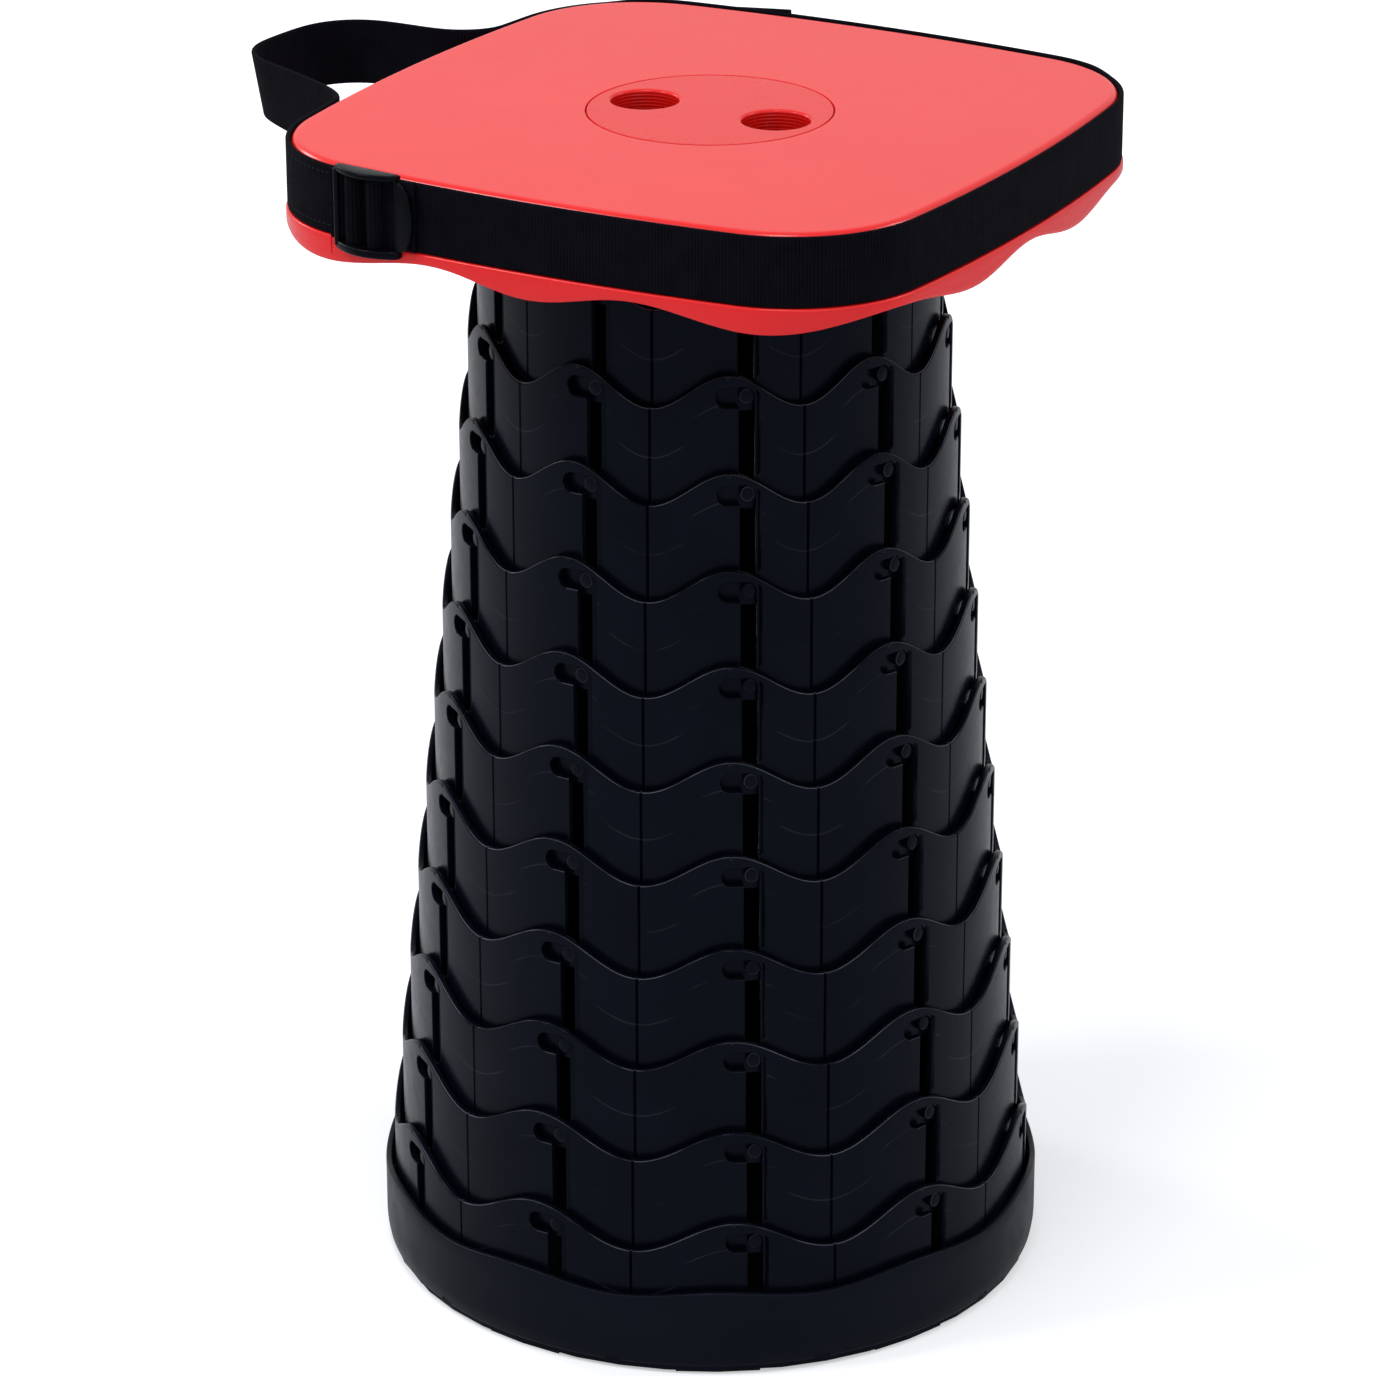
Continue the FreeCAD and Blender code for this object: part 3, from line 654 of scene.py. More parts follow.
def seatShellParts():
    # The profile goes from the opening out over the top, down the wall, out to the lip, down the wavy
    # skirt, back up the inside and over the disc's ledge
    style = seatStyle
    top = stool["height"]
    under = top - style["plate"]
    plain = seatOutline(0.0)
    around = np.degrees(np.arctan2(plain[:, 1], plain[:, 0]))
    circle = polar(around, 1.0, 0)[:, :2]
    wave = style["skirtWave"] * (0.5 + 0.5 * np.cos(np.radians(around * stool["columnCount"])))
    edge = style["skirtBottom"] + wave
    slit = np.where(arcTurns == style["slitTurn"], style["slitDepth"], 0.0)
    opening, ledge, ledgeRound = style["opening"], style["ledgeFoot"], style["ledgeRound"]
    rounding, margin = style["edgeRound"], style["edgeMargin"]
    lip, lipTop, lipRound = style["lipOffset"], style["lipTop"], style["lipRound"]
    outside, inside = style["wallOffset"], style["wallOffset"] - style["wall"]
    rows = []

    def onCircle(radius, height):
        # A row of the profile on a circle about the axis
        rows.append(np.column_stack([circle * radius, height + 0 * around]))

    def onOutline(offset, height):
        # A row of the profile on the outline moved outwards
        rows.append(np.column_stack([seatOutline(offset), height + 0 * around]))

    def acrossPlate(radius, offset, height, shares):
        # Rows between the circle, at share 0, and the outline, at share 1
        for share in shares:
            plan = circle * radius * (1 - share) + seatOutline(offset) * share
            rows.append(np.column_stack([plan, height + 0 * around]))

    nearRound, farRound = style["gapRound"]
    onCircle(opening, under)
    onCircle(opening, top - farRound)
    onCircle(opening + nearRound, top - nearRound)
    onCircle(opening + farRound, top)
    onCircle(opening + margin, top)
    acrossPlate(opening + margin, outside - rounding - margin, top, np.linspace(0, 1, 10)[1:])
    for turn in np.radians(np.linspace(0, 90, 8)):
        onOutline(outside - rounding * (1 - math.sin(turn)), top - rounding * (1 - math.cos(turn)))
    footOut, footRise = style["wallFoot"]
    onOutline(outside, lipTop + style["wallMiddle"])
    onOutline(outside, lipTop + footRise)
    onOutline(outside + footOut, lipTop)
    for turn in np.radians(style["lipTurns"]):
        onOutline(lip - slit - lipRound * (1 - math.sin(turn)), lipTop - lipRound * (1 - math.cos(turn)))
    skirtTop, skirtEnd = lipTop - lipRound, edge + style["hemRise"]
    for share in style["skirtShares"]:
        depth = slit if share < style["slitEnd"] else 0 * slit
        onOutline(lip - depth, skirtTop + (skirtEnd - skirtTop) * share)
    for inset, rise in style["hem"]:
        onOutline(lip - inset, edge + rise)
    onOutline(lip - style["wall"] + style["hemInside"], edge)
    onOutline(lip - style["wall"], edge + style["hemInside"])
    onOutline(lip - style["wall"], lipTop + style["lipInside"][0])
    onOutline(inside, lipTop + style["lipInside"][1])
    onOutline(inside, under - style["insideRound"])
    onOutline(inside - style["insideRound"], under)
    acrossPlate(ledge + ledgeRound, inside - style["insideRound"], under, np.linspace(1, 0, 8)[1:])
    onCircle(ledge, under - ledgeRound)
    onCircle(ledge, style["ledgeBottom"])
    onCircle(style["ledgeInner"], style["ledgeBottom"])
    onCircle(style["ledgeInner"], under)
    parts = [gridPart(np.stack(rows), wrapRows=True, wrapColumns=True)]

    # Ribs under the plate, from the ledge to the outline
    ribTop = under + style["ribSink"]
    profile = roundedBox(style["ribThickness"], ribTop - style["ribBottom"], style["ribRound"], 3)
    scale = np.array([0, 1, 1, 0])[:, None]
    for step in range(style["ribCount"]):
        angle = 360.0 / style["ribCount"] * (step + 0.5)
        nearest = np.argmin(np.abs((around - angle + 180) % 360 - 180))
        start, end = ledge - style["ribStart"], np.linalg.norm(plain[nearest])
        out = np.array([start, start, end, end])[:, None] + 0 * profile[:, 0]
        height = (ribTop + style["ribBottom"]) / 2 + profile[:, 1] * scale
        points = np.stack([out, profile[:, 0] * scale, height], axis=-1)
        parts.append(gridPart(turned(points, angle), wrapColumns=True))
    return parts


makePiece("seat_shell_moulding", seatShellParts(), "seat", seatRed, ("seat_shell",),
          sharpAngle=42)
print("seat shell made")


# Centre disc with two funnel-shaped finger holes, whose tubes are ridged inside
discStyle = {
    "radius": 44.6,
    "holeSpacing": 54.2,
    "funnelRadius": 13.3,
    "funnelMargin": 0.5,
    "funnelDepth": 1.0,
    "funnelTurns": (15, 30, 45, 60, 75, 90),
    "tubeRadius": 12.5,
    "tubeWall": 1.4,
    "tubeBottom": 435.0,
    "tubeRound": 0.2,
    "tubeFoot": 0.5,
    "tubePaintedShade": 4,
    "ridgeStart": 0.4,
    "ridgePitch": 1.25,
    "ridgeDepth": 0.14,
    "topShares": (1.0, 0.97, 0.75, 0.5, 0.25, 0.04, 0.0),
    "underShares": (0.02, 0.35, 0.7),
    "arcSteps": 57,
    "lineSteps": 19,
}


def discHalf(side):
    # Half of the disc: rays from the finger hole's centre run to the half's outline
    style = discStyle
    centre = style["holeSpacing"] / 2
    top = stool["height"]
    under = top - seatStyle["plate"]
    nearRound, farRound = seatStyle["gapRound"]
    innerRim = style["radius"] - farRound
    cornerTurn = math.degrees(math.atan2(innerRim, -centre))
    rimTurns = np.linspace(-cornerTurn, cornerTurn, style["arcSteps"])
    lineTurns = np.linspace(cornerTurn, 360 - cornerTurn, style["lineSteps"])[1:-1]
    turns = np.radians(np.concatenate([rimTurns, lineTurns]))
    rayX, rayY = np.cos(turns), np.sin(turns)
    toArc = -centre * rayX + np.sqrt(innerRim ** 2 - (centre * rayY) ** 2)
    toLine = np.where(rayX < -1e-9, -centre / np.minimum(rayX, -1e-9), 1e9)
    reach = np.minimum(toArc, toLine)
    onArc = np.arange(len(turns)) < len(rimTurns)
    rows = []

    def ray(distance, height):
        # A row at one distance from the hole's centre
        rows.append(np.stack([centre + distance * rayX, distance * rayY, height + 0 * rayX], axis=-1))

    def rim(radius, height):
        # On the arc the outline moves out to this radius, and on the straight side it stays
        point = np.stack([centre + reach * rayX, reach * rayY], axis=-1)
        scale = np.where(onArc, radius / innerRim, 1.0)[:, None]
        rows.append(np.column_stack([point * scale, height + 0 * rayX]))

    mouth = style["funnelRadius"] + style["funnelMargin"]
    tube, tubeOutside = style["tubeRadius"], style["tubeRadius"] + style["tubeWall"]
    funnelBottom = top - style["funnelDepth"]
    for share in style["topShares"]:
        ray(mouth * (1 - share) + reach * share, top)
    for turn in np.radians(style["funnelTurns"]):
        ray(mouth - (mouth - tube) * math.sin(turn), top - style["funnelDepth"] * (1 - math.cos(turn)))
    tubeStart = len(rows)
    ridgeTop = funnelBottom - style["ridgeStart"]
    for height in np.arange(ridgeTop, style["tubeBottom"], -style["ridgePitch"] / 6):
        phase = 2 * math.pi * (funnelBottom - height) / style["ridgePitch"]
        ray(tube + style["ridgeDepth"] * (0.5 - 0.5 * math.cos(phase)), height)
    ray(tube + style["tubeRound"], style["tubeBottom"])
    tubeEnd = len(rows)
    ray(tubeOutside, style["tubeBottom"])
    ray(tubeOutside, under - style["tubeFoot"])
    for share in style["underShares"]:
        ray(tubeOutside * (1 - share) + reach * share, under)
    rim(innerRim, under)
    grid = np.stack(rows)
    # Inside the tubes the red is painted darker and deeper as painted shade
    uv = clearOfRubAndPaintedLight(*grid.shape[:2])
    uv[tubeStart:tubeEnd] = (style["tubePaintedShade"], 0)
    plate = gridPart(grid, wrapColumns=True, uv=uv)
    rows.clear()
    rim(innerRim, under)
    rim(style["radius"], under)
    rim(style["radius"], top - farRound)
    rim(style["radius"] - nearRound, top - nearRound)
    rim(innerRim, top)
    band = gridPart(np.stack(rows)[:, :len(rimTurns)])
    flip = np.array([side, 1, 1])
    return [(points * flip, quads, uv) for points, quads, uv in (plate, band)]


makePiece("seat_centre_disc_moulding", discHalf(1) + discHalf(-1), "seat", discRed,
          ("seat_centre_disc",), sharpAngle=42)
print("centre disc made")


# Collar under the seat, whose pins run in the top ring
collarStyle = {"outer": 81.5, "bottom": 399.6, "top": 442.0, "edge": (0.4, 0.5), "pinHeight": 405.9971}


def collarParts():
    # A profile turned about the axis, with a pin in each sector
    outer, bottom, top = collarStyle["outer"], collarStyle["bottom"], collarStyle["top"]
    inner = outer - stool["ringWall"]
    inset, rise = collarStyle["edge"]
    profile = [(outer, bottom + rise), (outer, top), (inner, top), (inner, bottom + rise),
               (inner + inset, bottom), (outer - inset, bottom)]
    turns = np.arange(0, 360, 2.0)
    rows = np.stack([polar(turns, radius, height) for radius, height in profile])
    reach = stool["ringPitch"] - ringStyle["pinRecess"]
    pin = pinPart(outer, ringStyle["pinCentre"], collarStyle["pinHeight"], ringStyle["pinRadius"], reach)
    return [gridPart(rows, wrapRows=True, wrapColumns=True)] + repeatedAround([pin], stool["flatAngle"])


makePiece("seat_collar_moulding", collarParts(), "seat", ringBlack, ("seat_collar",))
print("collar made")


# Webbing: a flat band with rounded edges, carried along a path in plan
strapStyle = {
    "width": 25.0,
    "thickness": 1.8,
    "edgeRound": 0.42,
    "faceRows": 8,
    "bottom": 424.5,
    "centreOffset": 2.6,
    "loopReach": 64.2,
    "backRise": 0.95,
    "loopBack": 46.0,
    "loopFront": -14.0,
    "loopReturn": -45.5,
    "radii": (20.0, 25.0, 22.0, 17.0),
    "step": 1.6,
    "backAlong": (110.0, 120.0),
    "softAcross": (126.0, 134.0),
    "softness": 0.5,
    "softRounds": 30,
    "lean": 4.0,
    "leanAcross": (150.0, 185.0),
    "leanAlong": (-10.0, 30.0),
}


def pathLength(path):
    # How far along the path each point lies
    return np.concatenate([[0], np.cumsum(np.linalg.norm(np.diff(path, axis=0), axis=1))])


def bandParts(path, normals, bottom, width, thickness, closed=False, lean=0):
    # A rounded rectangle swept along the path; the UV map runs along the path and across the band. Lean is
    # how far its top stands outside its bottom
    outline = roundedBox(thickness, width, thickness * strapStyle["edgeRound"], 3)
    faceRows = np.linspace(thickness - width / 2, width / 2 - thickness, strapStyle["faceRows"])
    front = np.stack([thickness / 2 + 0 * faceRows, faceRows], axis=-1)
    half = len(outline) // 2
    outline = np.concatenate([outline[:half], -front, outline[half:], front])
    outline = np.concatenate([outline, outline[:1]])
    out, up = outline[:, :1], outline[:, 1:]
    length = pathLength(path)
    plan = path + (out + lean * up / width)[..., None] * normals
    height = bottom + width / 2 + up + 0 * length
    points = np.concatenate([plan, height[..., None]], axis=-1)
    uv = np.stack(np.broadcast_arrays(length / 10, (up + width / 2) / 10), axis=-1)
    parts = [gridPart(points, uv=uv)]
    if not closed:
        for end in (0, -1):
            ring = points[:, end]
            middle = ring[:-1].mean(axis=0)
            rows = np.stack([ring, (ring + middle) / 2, middle + 0 * ring])
            parts.append(gridPart(rows, uv=np.stack([uv[:, end]] * 3)))
    return parts


def pathNormals(path, closed=False):
    # Outward directions, square to the path
    if closed:
        along = np.roll(path[:-1], -1, axis=0) - np.roll(path[:-1], 1, axis=0)
        along = np.concatenate([along, along[:1]])
    else:
        along = np.gradient(path, axis=0)
    along /= np.linalg.norm(along, axis=1)[:, None]
    return np.stack([along[:, 1], -along[:, 0]], axis=-1)


def evenPath(points, step):
    # The same line with points at even distances
    length = pathLength(points)
    places = np.linspace(0, length[-1], int(length[-1] / step) + 1)
    return np.stack([np.interp(places, length, points[:, axis]) for axis in (0, 1)], axis=-1)


def filletPoints(before, corner, after, radius):
    # An arc of this radius between two straight runs that meet at the corner
    arriving = (corner - before) / np.linalg.norm(corner - before)
    leaving = (after - corner) / np.linalg.norm(after - corner)
    turn = math.acos(np.clip(arriving @ leaving, -1, 1))
    inward = (leaving - arriving) / np.linalg.norm(leaving - arriving)
    centre = corner + inward * radius / math.cos(turn / 2)
    start = corner - arriving * radius * math.tan(turn / 2) - centre
    way = np.sign(arriving[0] * leaving[1] - arriving[1] * leaving[0])
    angles = way * np.linspace(0, turn, 14)
    x = start[0] * np.cos(angles) - start[1] * np.sin(angles)
    y = start[0] * np.sin(angles) + start[1] * np.cos(angles)
    return centre + np.stack([x, y], axis=-1)


def strapPath():
    # Round the seat's sides and corners, with a slack loop in place of the left side
    style = strapStyle
    band = seatOutline(style["centreOffset"])
    quarter = seatStyle["sideSteps"] + seatStyle["cornerSteps"]
    backEnd, frontEnd = band[quarter * 2], band[quarter * 2 + seatStyle["sideSteps"]]
    slope = math.tan(math.radians(seatSideEnd))
    leave = np.array([backEnd[0] - (backEnd[1] - style["loopBack"]) * slope, style["loopBack"]])
    comeBack = np.array([frontEnd[0] - (style["loopReturn"] - frontEnd[1]) * slope, style["loopReturn"]])
    far = leave[0] - style["loopReach"]
    farBack, farFront = np.array([far, style["loopBack"]]), np.array([far, style["loopFront"]])
    corners = [backEnd, leave, farBack, farFront, comeBack, frontEnd]
    loop = [filletPoints(*corners[place:place + 3], radius) for place, radius in enumerate(style["radii"])]
    first = band[:quarter * 2 + 1]
    last = band[quarter * 2 + seatStyle["sideSteps"]:]
    path = evenPath(np.concatenate([first] + loop + [last, band[:1]]), style["step"])
    # The slack loop is drawn softer than arcs and straight runs
    weight = smoothStep(*style["softAcross"], -path[:, 0])[:, None] * style["softness"]
    for _ in range(style["softRounds"]):
        mean = (np.roll(path[:-1], 1, axis=0) + np.roll(path[:-1], -1, axis=0)) / 2
        mean = np.concatenate([mean, mean[:1]])
        path = path * (1 - weight) + mean * weight
    return path


carryPath = strapPath()
carryNormals = pathNormals(carryPath, closed=True)
carryBack = smoothStep(*strapStyle["backAlong"], carryPath[:, 1])
carryBottom = strapStyle["bottom"] + strapStyle["backRise"] * carryBack
carryLean = strapStyle["lean"] * smoothStep(*strapStyle["leanAcross"], -carryPath[:, 0])
carryLean *= 1 - smoothStep(*strapStyle["leanAlong"], carryPath[:, 1])
carryParts = bandParts(carryPath, carryNormals, carryBottom, strapStyle["width"], strapStyle["thickness"],
                       closed=True, lean=carryLean)
makePiece("carry_strap_webbing", carryParts, "seat", webbing, ("carry_strap",), sharpAngle=60)
print("carry strap made")


def backPath(first, last, offset):
    # A stretch of the seat's back side between two places along X
    radius = seatStyle["sideRadius"] + offset
    x = np.linspace(first, last, int((last - first) / strapStyle["step"]) * 2 + 2)
    y = seatStyle["halfWidth"] - seatStyle["sideRadius"] + np.sqrt(radius ** 2 - x ** 2)
    return np.stack([x, y], axis=-1)[::-1]


# Stitches: rows of short threads that hold the sewn ends
stitchStyle = {
    "radius": 0.28,
    "lengthShare": 0.72,
    "lift": 0.05,
    "spindle": ((-0.5, 0.0), (-0.32, 0.8), (0.0, 1.0), (0.32, 0.8), (0.5, 0.0)),  # place along it, thickness
    "fromBottom": 3.2,
    "fromTop": 2.8,
    "sewnReach": 14.0,
    "sewnPitch": 2.6,
    "cornerFacing": 245.0,
    "cornerReach": 12.7,
    "cornerPitch": 2.4,
}


def stitchPart(place, direction, out, length):
    # A short rounded thread at this place: a small six-sided spindle
    along, thick = np.array(stitchStyle["spindle"]).T[:, :, None, None]
    turns = np.radians(np.arange(0, 360, 60))[:, None]
    ring = np.cos(turns) * out + np.sin(turns) * np.cross(direction, out)
    points = place + along * length * direction + thick * stitchStyle["radius"] * ring
    return gridPart(points, wrapColumns=True)


def stitchBox(centre, radius, facing, reach, pitch, crossed=False):
    # Stitches round a box on a curved stretch of webbing, and on its diagonals where it is crossed. The
    # stretch has this centre and radius in plan, faces this way, and reaches as far to both sides
    radius += stitchStyle["lift"]
    low = strapStyle["bottom"] + stitchStyle["fromBottom"]
    high = strapStyle["bottom"] + strapStyle["width"] - stitchStyle["fromTop"]
    corners = [(-reach, low), (reach, low), (reach, high), (-reach, high)]
    lines = list(zip(corners, corners[1:] + corners[:1]))
    if crossed:
        lines += [(corners[0], corners[2]), (corners[3], corners[1])]
    parts = []
    for start, end in lines:
        start, end = np.array(start), np.array(end)
        count = max(2, int(np.linalg.norm(end - start) / pitch))
        shares = (np.arange(count) + 0.5) / count
        flat = start + (end - start) * shares[:, None]
        turn = facing + np.degrees(flat[:, 0] / radius)
        out, along = polar(turn, 1.0, 0), polar(turn + 90, 1.0, 0)
        slope = (end - start) / np.linalg.norm(end - start)
        directions = along * slope[0] + upright * slope[1]
        places = np.append(centre, 0) + radius * out + flat[:, 1:] * upright
        length = pitch * stitchStyle["lengthShare"]
        parts += [stitchPart(*stitch, length) for stitch in zip(places, directions, out)]
    return parts


sewnStyle = {"first": -71.0, "last": -37.0, "offset": 4.7, "firstRise": -0.4, "lastRise": 1.9}
sewnPath = backPath(sewnStyle["first"], sewnStyle["last"], sewnStyle["offset"])
sewnRise = np.interp(sewnPath[:, 0], [sewnStyle["first"], sewnStyle["last"]],
                     [sewnStyle["firstRise"], sewnStyle["lastRise"]])
sewnParts = bandParts(sewnPath, pathNormals(sewnPath), strapStyle["bottom"] + sewnRise, strapStyle["width"],
                      strapStyle["thickness"])
makePiece("strap_sewn_end_webbing", sewnParts, "seat", webbing, ("strap_sewn_end",),
          sharpAngle=60)
sewnRadius = seatStyle["sideRadius"] + sewnStyle["offset"] + strapStyle["thickness"] / 2
sewnMiddle = math.degrees((sewnStyle["first"] + sewnStyle["last"]) / 2 / sewnRadius)
sewnStitches = stitchBox((0, seatStyle["halfWidth"] - seatStyle["sideRadius"]), sewnRadius, 90 - sewnMiddle,
                         stitchStyle["sewnReach"], stitchStyle["sewnPitch"], crossed=True)
makePiece("strap_sewn_end_stitches", sewnStitches, "seat", thread)
cornerRadius = seatStyle["cornerRadius"] + strapStyle["centreOffset"] + strapStyle["thickness"] / 2
cornerStitches = stitchBox((-seatCorner, -seatCorner), cornerRadius, stitchStyle["cornerFacing"],
                           stitchStyle["cornerReach"], stitchStyle["cornerPitch"])
makePiece("strap_corner_stitches", cornerStitches, "seat", thread)
print("sewn ends made")


# Buckle on the front side, and the webbing that runs over its middle bar
buckleStyle = {
    "centre": -64.7,
    "length": 27.0,
    "height": 30.4,
    "sag": 0.4,
    "rails": (2.9, 2.1),
    "railDepth": 2.6,
    "railBow": 5.2,
    "bowSpread": 0.94,
    "bowFullness": 0.8,
    "railBack": 0.3,
    "railRound": 0.7,
    "railEnds": (0.3, 0.8),
    "railInset": 0.5,
    "barInset": 1.3,
    "barRound": 0.9,
    "leftBar": 2.2,
    "leftDepths": (2.5, 4.4),
    "middleBar": (2.2, 5.0),
    "middleDepths": (2.3, 4.1),
    "rightBar": 1.6,
    "rightDepths": (1.5, 2.8),
    "tongueStart": 0.3,
    "tongueLength": 7.2,
    "tongueHalfHeight": 12.4,
    "tongueEdge": 0.2,
    "tongueRound": 2.2,
    "tongueThickness": 1.3,
    "tongueDepth": 2.15,
    "tongueBend": 1.3,
}
threadedStyle = {
    "first": -17.0,
    "last": 20.0,
    "step": 0.35,
    "thickness": 1.3,
    "extraWidth": 0.2,
    "sink": 0.15,
    "drop": 0.5,
    "endRise": 0.7,
    "riseAlong": (13.0, 15.0),
    "rolls": ((-5.9, 3.1, 3.9, 0.5), (3.6, 2.6, 4.5, 0.45)),  # middle, half width, height and fullness
}


def bucklePlaces(along, depth, height):
    # Points beside the buckle's centre, outwards from the strap's outer face, and up
    radius = seatStyle["sideRadius"]
    strapFace = strapStyle["centreOffset"] + strapStyle["thickness"] / 2
    turn = math.asin(buckleStyle["centre"] / radius)
    out = np.array([math.sin(turn), -math.cos(turn), 0.0])
    beside = np.array([math.cos(turn), math.sin(turn), 0.0])
    base = np.array([0.0, radius - seatStyle["halfWidth"], 0.0]) + out * (radius + strapFace)
    along, depth, height = [place[..., None] for place in np.broadcast_arrays(along, depth, height)]
    return base + along * beside + depth * out + height * upright


def sweptBar(sections):
    # A bar through these closed sections, drawn to a point inside each end
    sections = np.stack(sections)
    first, last = sections[:1].mean(axis=1, keepdims=True), sections[-1:].mean(axis=1, keepdims=True)
    rows = np.concatenate([first + 0 * sections[:1], sections, last + 0 * sections[-1:]])
    return gridPart(rows, wrapColumns=True)


def buckleParts():
    # Each member is a bar through closed sections: two rails, three uprights and a tongue
    style = buckleStyle
    middle = strapStyle["bottom"] + strapStyle["width"] / 2 - style["sag"]
    half = style["length"] / 2
    parts = []

    # A rail is a rounded strip whose outer edge bows outwards
    nearEnd, taper = style["railEnds"]
    stations = np.concatenate([[-half, nearEnd - half], np.linspace(taper - half, half - taper, 17),
                               [half - nearEnd, half]])
    for way, rail in zip((-1, 1), style["rails"]):
        level = middle + way * (style["height"] - rail) / 2
        sections = []
        for along in stations:
            inset = style["railInset"] * smoothStep(half - taper, half, abs(along))
            bow = math.cos(math.pi * along / style["length"] * style["bowSpread"]) ** style["bowFullness"]
            reach = style["railDepth"] + style["railBow"] * bow - inset
            box = roundedBox(reach - style["railBack"], rail - inset, style["railRound"], 4)
            depth = box[:, 0] + (reach + style["railBack"]) / 2
            sections.append(bucklePlaces(along, depth, level + box[:, 1]))
        parts.append(sweptBar(sections))

    # Three upright bars join the rails
    tall = style["height"] / 2 - style["barInset"]
    bars = ((-half, style["leftBar"] - half, style["leftDepths"]),
            (*style["middleBar"], style["middleDepths"]),
            (half - style["rightBar"], half, style["rightDepths"]))
    for first, last, (inner, outer) in bars:
        thick = outer - inner
        box = roundedBox(last - first, thick, min(style["barRound"], thick * 0.45), 4)
        along, depth = (first + last) / 2 + box[:, 0], (inner + outer) / 2 + box[:, 1]
        parts.append(sweptBar([bucklePlaces(along, depth, middle + way * tall) for way in (-1, 1)]))

    # The tongue is a thin plate with a D outline that bends outwards towards its edge
    sections = []
    for share in np.concatenate([[0.0], np.linspace(0.05, 0.97, 14), [1.0]]):
        along = half - style["tongueStart"] + style["tongueLength"] * share
        tall = style["tongueHalfHeight"] * math.sqrt(1 - share ** style["tongueRound"]) + style["tongueEdge"]
        thick = style["tongueThickness"] * (1 - 0.5 * share ** 3)
        depth = style["tongueDepth"] + style["tongueBend"] * share ** 1.5
        box = roundedBox(thick, tall * 2, min(thick * 0.45, tall * 0.9), 4)
        sections.append(bucklePlaces(along, depth + box[:, 0], middle + box[:, 1]))
    parts.append(sweptBar(sections))
    return parts


def threadedParts():
    # The threaded webbing lies on the strap, rolls out behind the left bar and again over the middle one
    style = threadedStyle
    along = np.linspace(style["first"], style["last"], 160)
    depth = strapStyle["thickness"] / 2 - style["sink"] + 0 * along
    for centre, halfWidth, height, fullness in style["rolls"]:
        depth += height * np.cos(np.clip((along - centre) / halfWidth, -1, 1) * math.pi / 2) ** fullness
    path = evenPath(bucklePlaces(along, depth, 0.0)[:, :2], style["step"])
    beyond = smoothStep(*style["riseAlong"], path[:, 0] - buckleStyle["centre"])
    bottom = strapStyle["bottom"] - style["drop"] + style["endRise"] * beyond
    width = strapStyle["width"] + style["extraWidth"]
    return bandParts(path, pathNormals(path), bottom, width, style["thickness"])


makePiece("strap_buckle_moulding", buckleParts(), "seat", buckleBlack, ("strap_buckle",),
          sharpAngle=35)
makePiece("strap_threaded_end_webbing", threadedParts(), "seat", webbing,
          ("strap_threaded_end",), sharpAngle=60)
print("buckle made")


# Base: a round shell with a gently wavy rim over a floor with ten feet
baseStyle = {
    "outer": 126.5,
    "inner": 123.9,
    "relief": 125.0,
    "bottom": 3.2,
    "shoulder": 21.6,
    "shoulderRise": 0.4,
    "rim": 34.4,
    "rimWave": 3.0,
    "crestAngle": 12.5,
    "outsideLevels": (26, 20, 14, 9.5, 8, 6.5),
    "insideLevels": (10, 16),
    "rimLevel": 28.0,
    "taper": 0.9,
    "taperHeight": 6.0,
    "bottomEdge": (0.1, 0.3),
    "bottomInsets": (0.5, 0.2),
    "windowHalfWidth": 3.1,
    "windowTop": 4.8,
    "edgeRound": 0.8,
}


def baseShellParts():
    # A profile turned about the axis, from one clip window to the next; the rim follows a wave
    style = baseStyle
    outer, inner, relief = style["outer"], style["inner"], style["relief"]
    bottom, shoulder, rounding = style["bottom"], style["shoulder"], style["edgeRound"]
    window = math.degrees(style["windowHalfWidth"] / outer)
    turns = np.concatenate([[-window, 0.0], np.linspace(window, sectorAngle - window, 33)])
    wave = 1 - np.cos(np.radians((turns + sectorAngle / 2) * stool["columnCount"]))
    edge = style["rim"] - style["rimWave"] / 2 * wave
    inset, rise = style["bottomEdge"]
    low = [style["windowTop"], (style["windowTop"] + bottom) / 2, bottom + rise]
    rows = []

    def add(radius, height):
        # A row of the profile, whose height may follow the wave
        rows.append(polar(turns, radius, height + 0 * turns))

    def slope(height):
        # The outer radius, which draws in towards the bottom
        return outer - style["taper"] * (1 - min((height - bottom) / style["taperHeight"], 1.0)) ** 1.5

    for height in style["outsideLevels"]:
        add(slope(height), height)
    for height in low:
        add(slope(height) - (inset if height == low[-1] else 0.0), height)
    add(slope(bottom) - style["bottomInsets"][0], bottom)
    add(relief + style["bottomInsets"][1], bottom)
    for height in (*low[::-1], *style["insideLevels"], shoulder):
        add(relief, height)
    add(inner, shoulder + style["shoulderRise"])
    add(inner, style["rimLevel"])
    quarter = np.radians([0, 30, 60, 90])
    for turn in quarter:
        add(inner + rounding * (1 - math.cos(turn)), edge - rounding * (1 - math.sin(turn)))
    for turn in quarter[::-1]:
        add(outer - rounding * (1 - math.cos(turn)), edge - rounding * (1 - math.sin(turn)))

    # The clip window goes through the lowest rows of both faces; three strips close its top and sides
    grid = np.stack(rows)
    points, quads, uv = gridPart(grid, wrapRows=True)
    row, column = np.divmod(np.arange(len(quads)), len(turns) - 1)
    firstRow = len(style["outsideLevels"])
    lastRow = firstRow + 2 * len(low) + 1
    opened = (row >= firstRow) & (row < lastRow) & (column < 2)
    parts = [(points, quads[~opened], uv), gridPart(grid[[firstRow, lastRow], :3])]
    for side in (0, 2):
        outside, inside = grid[firstRow:firstRow + 4, side], grid[lastRow:lastRow - 4:-1, side]
        parts.append(gridPart(np.stack([outside, inside])))
    return repeatedAround(parts, style["crestAngle"] + sectorAngle / 2)


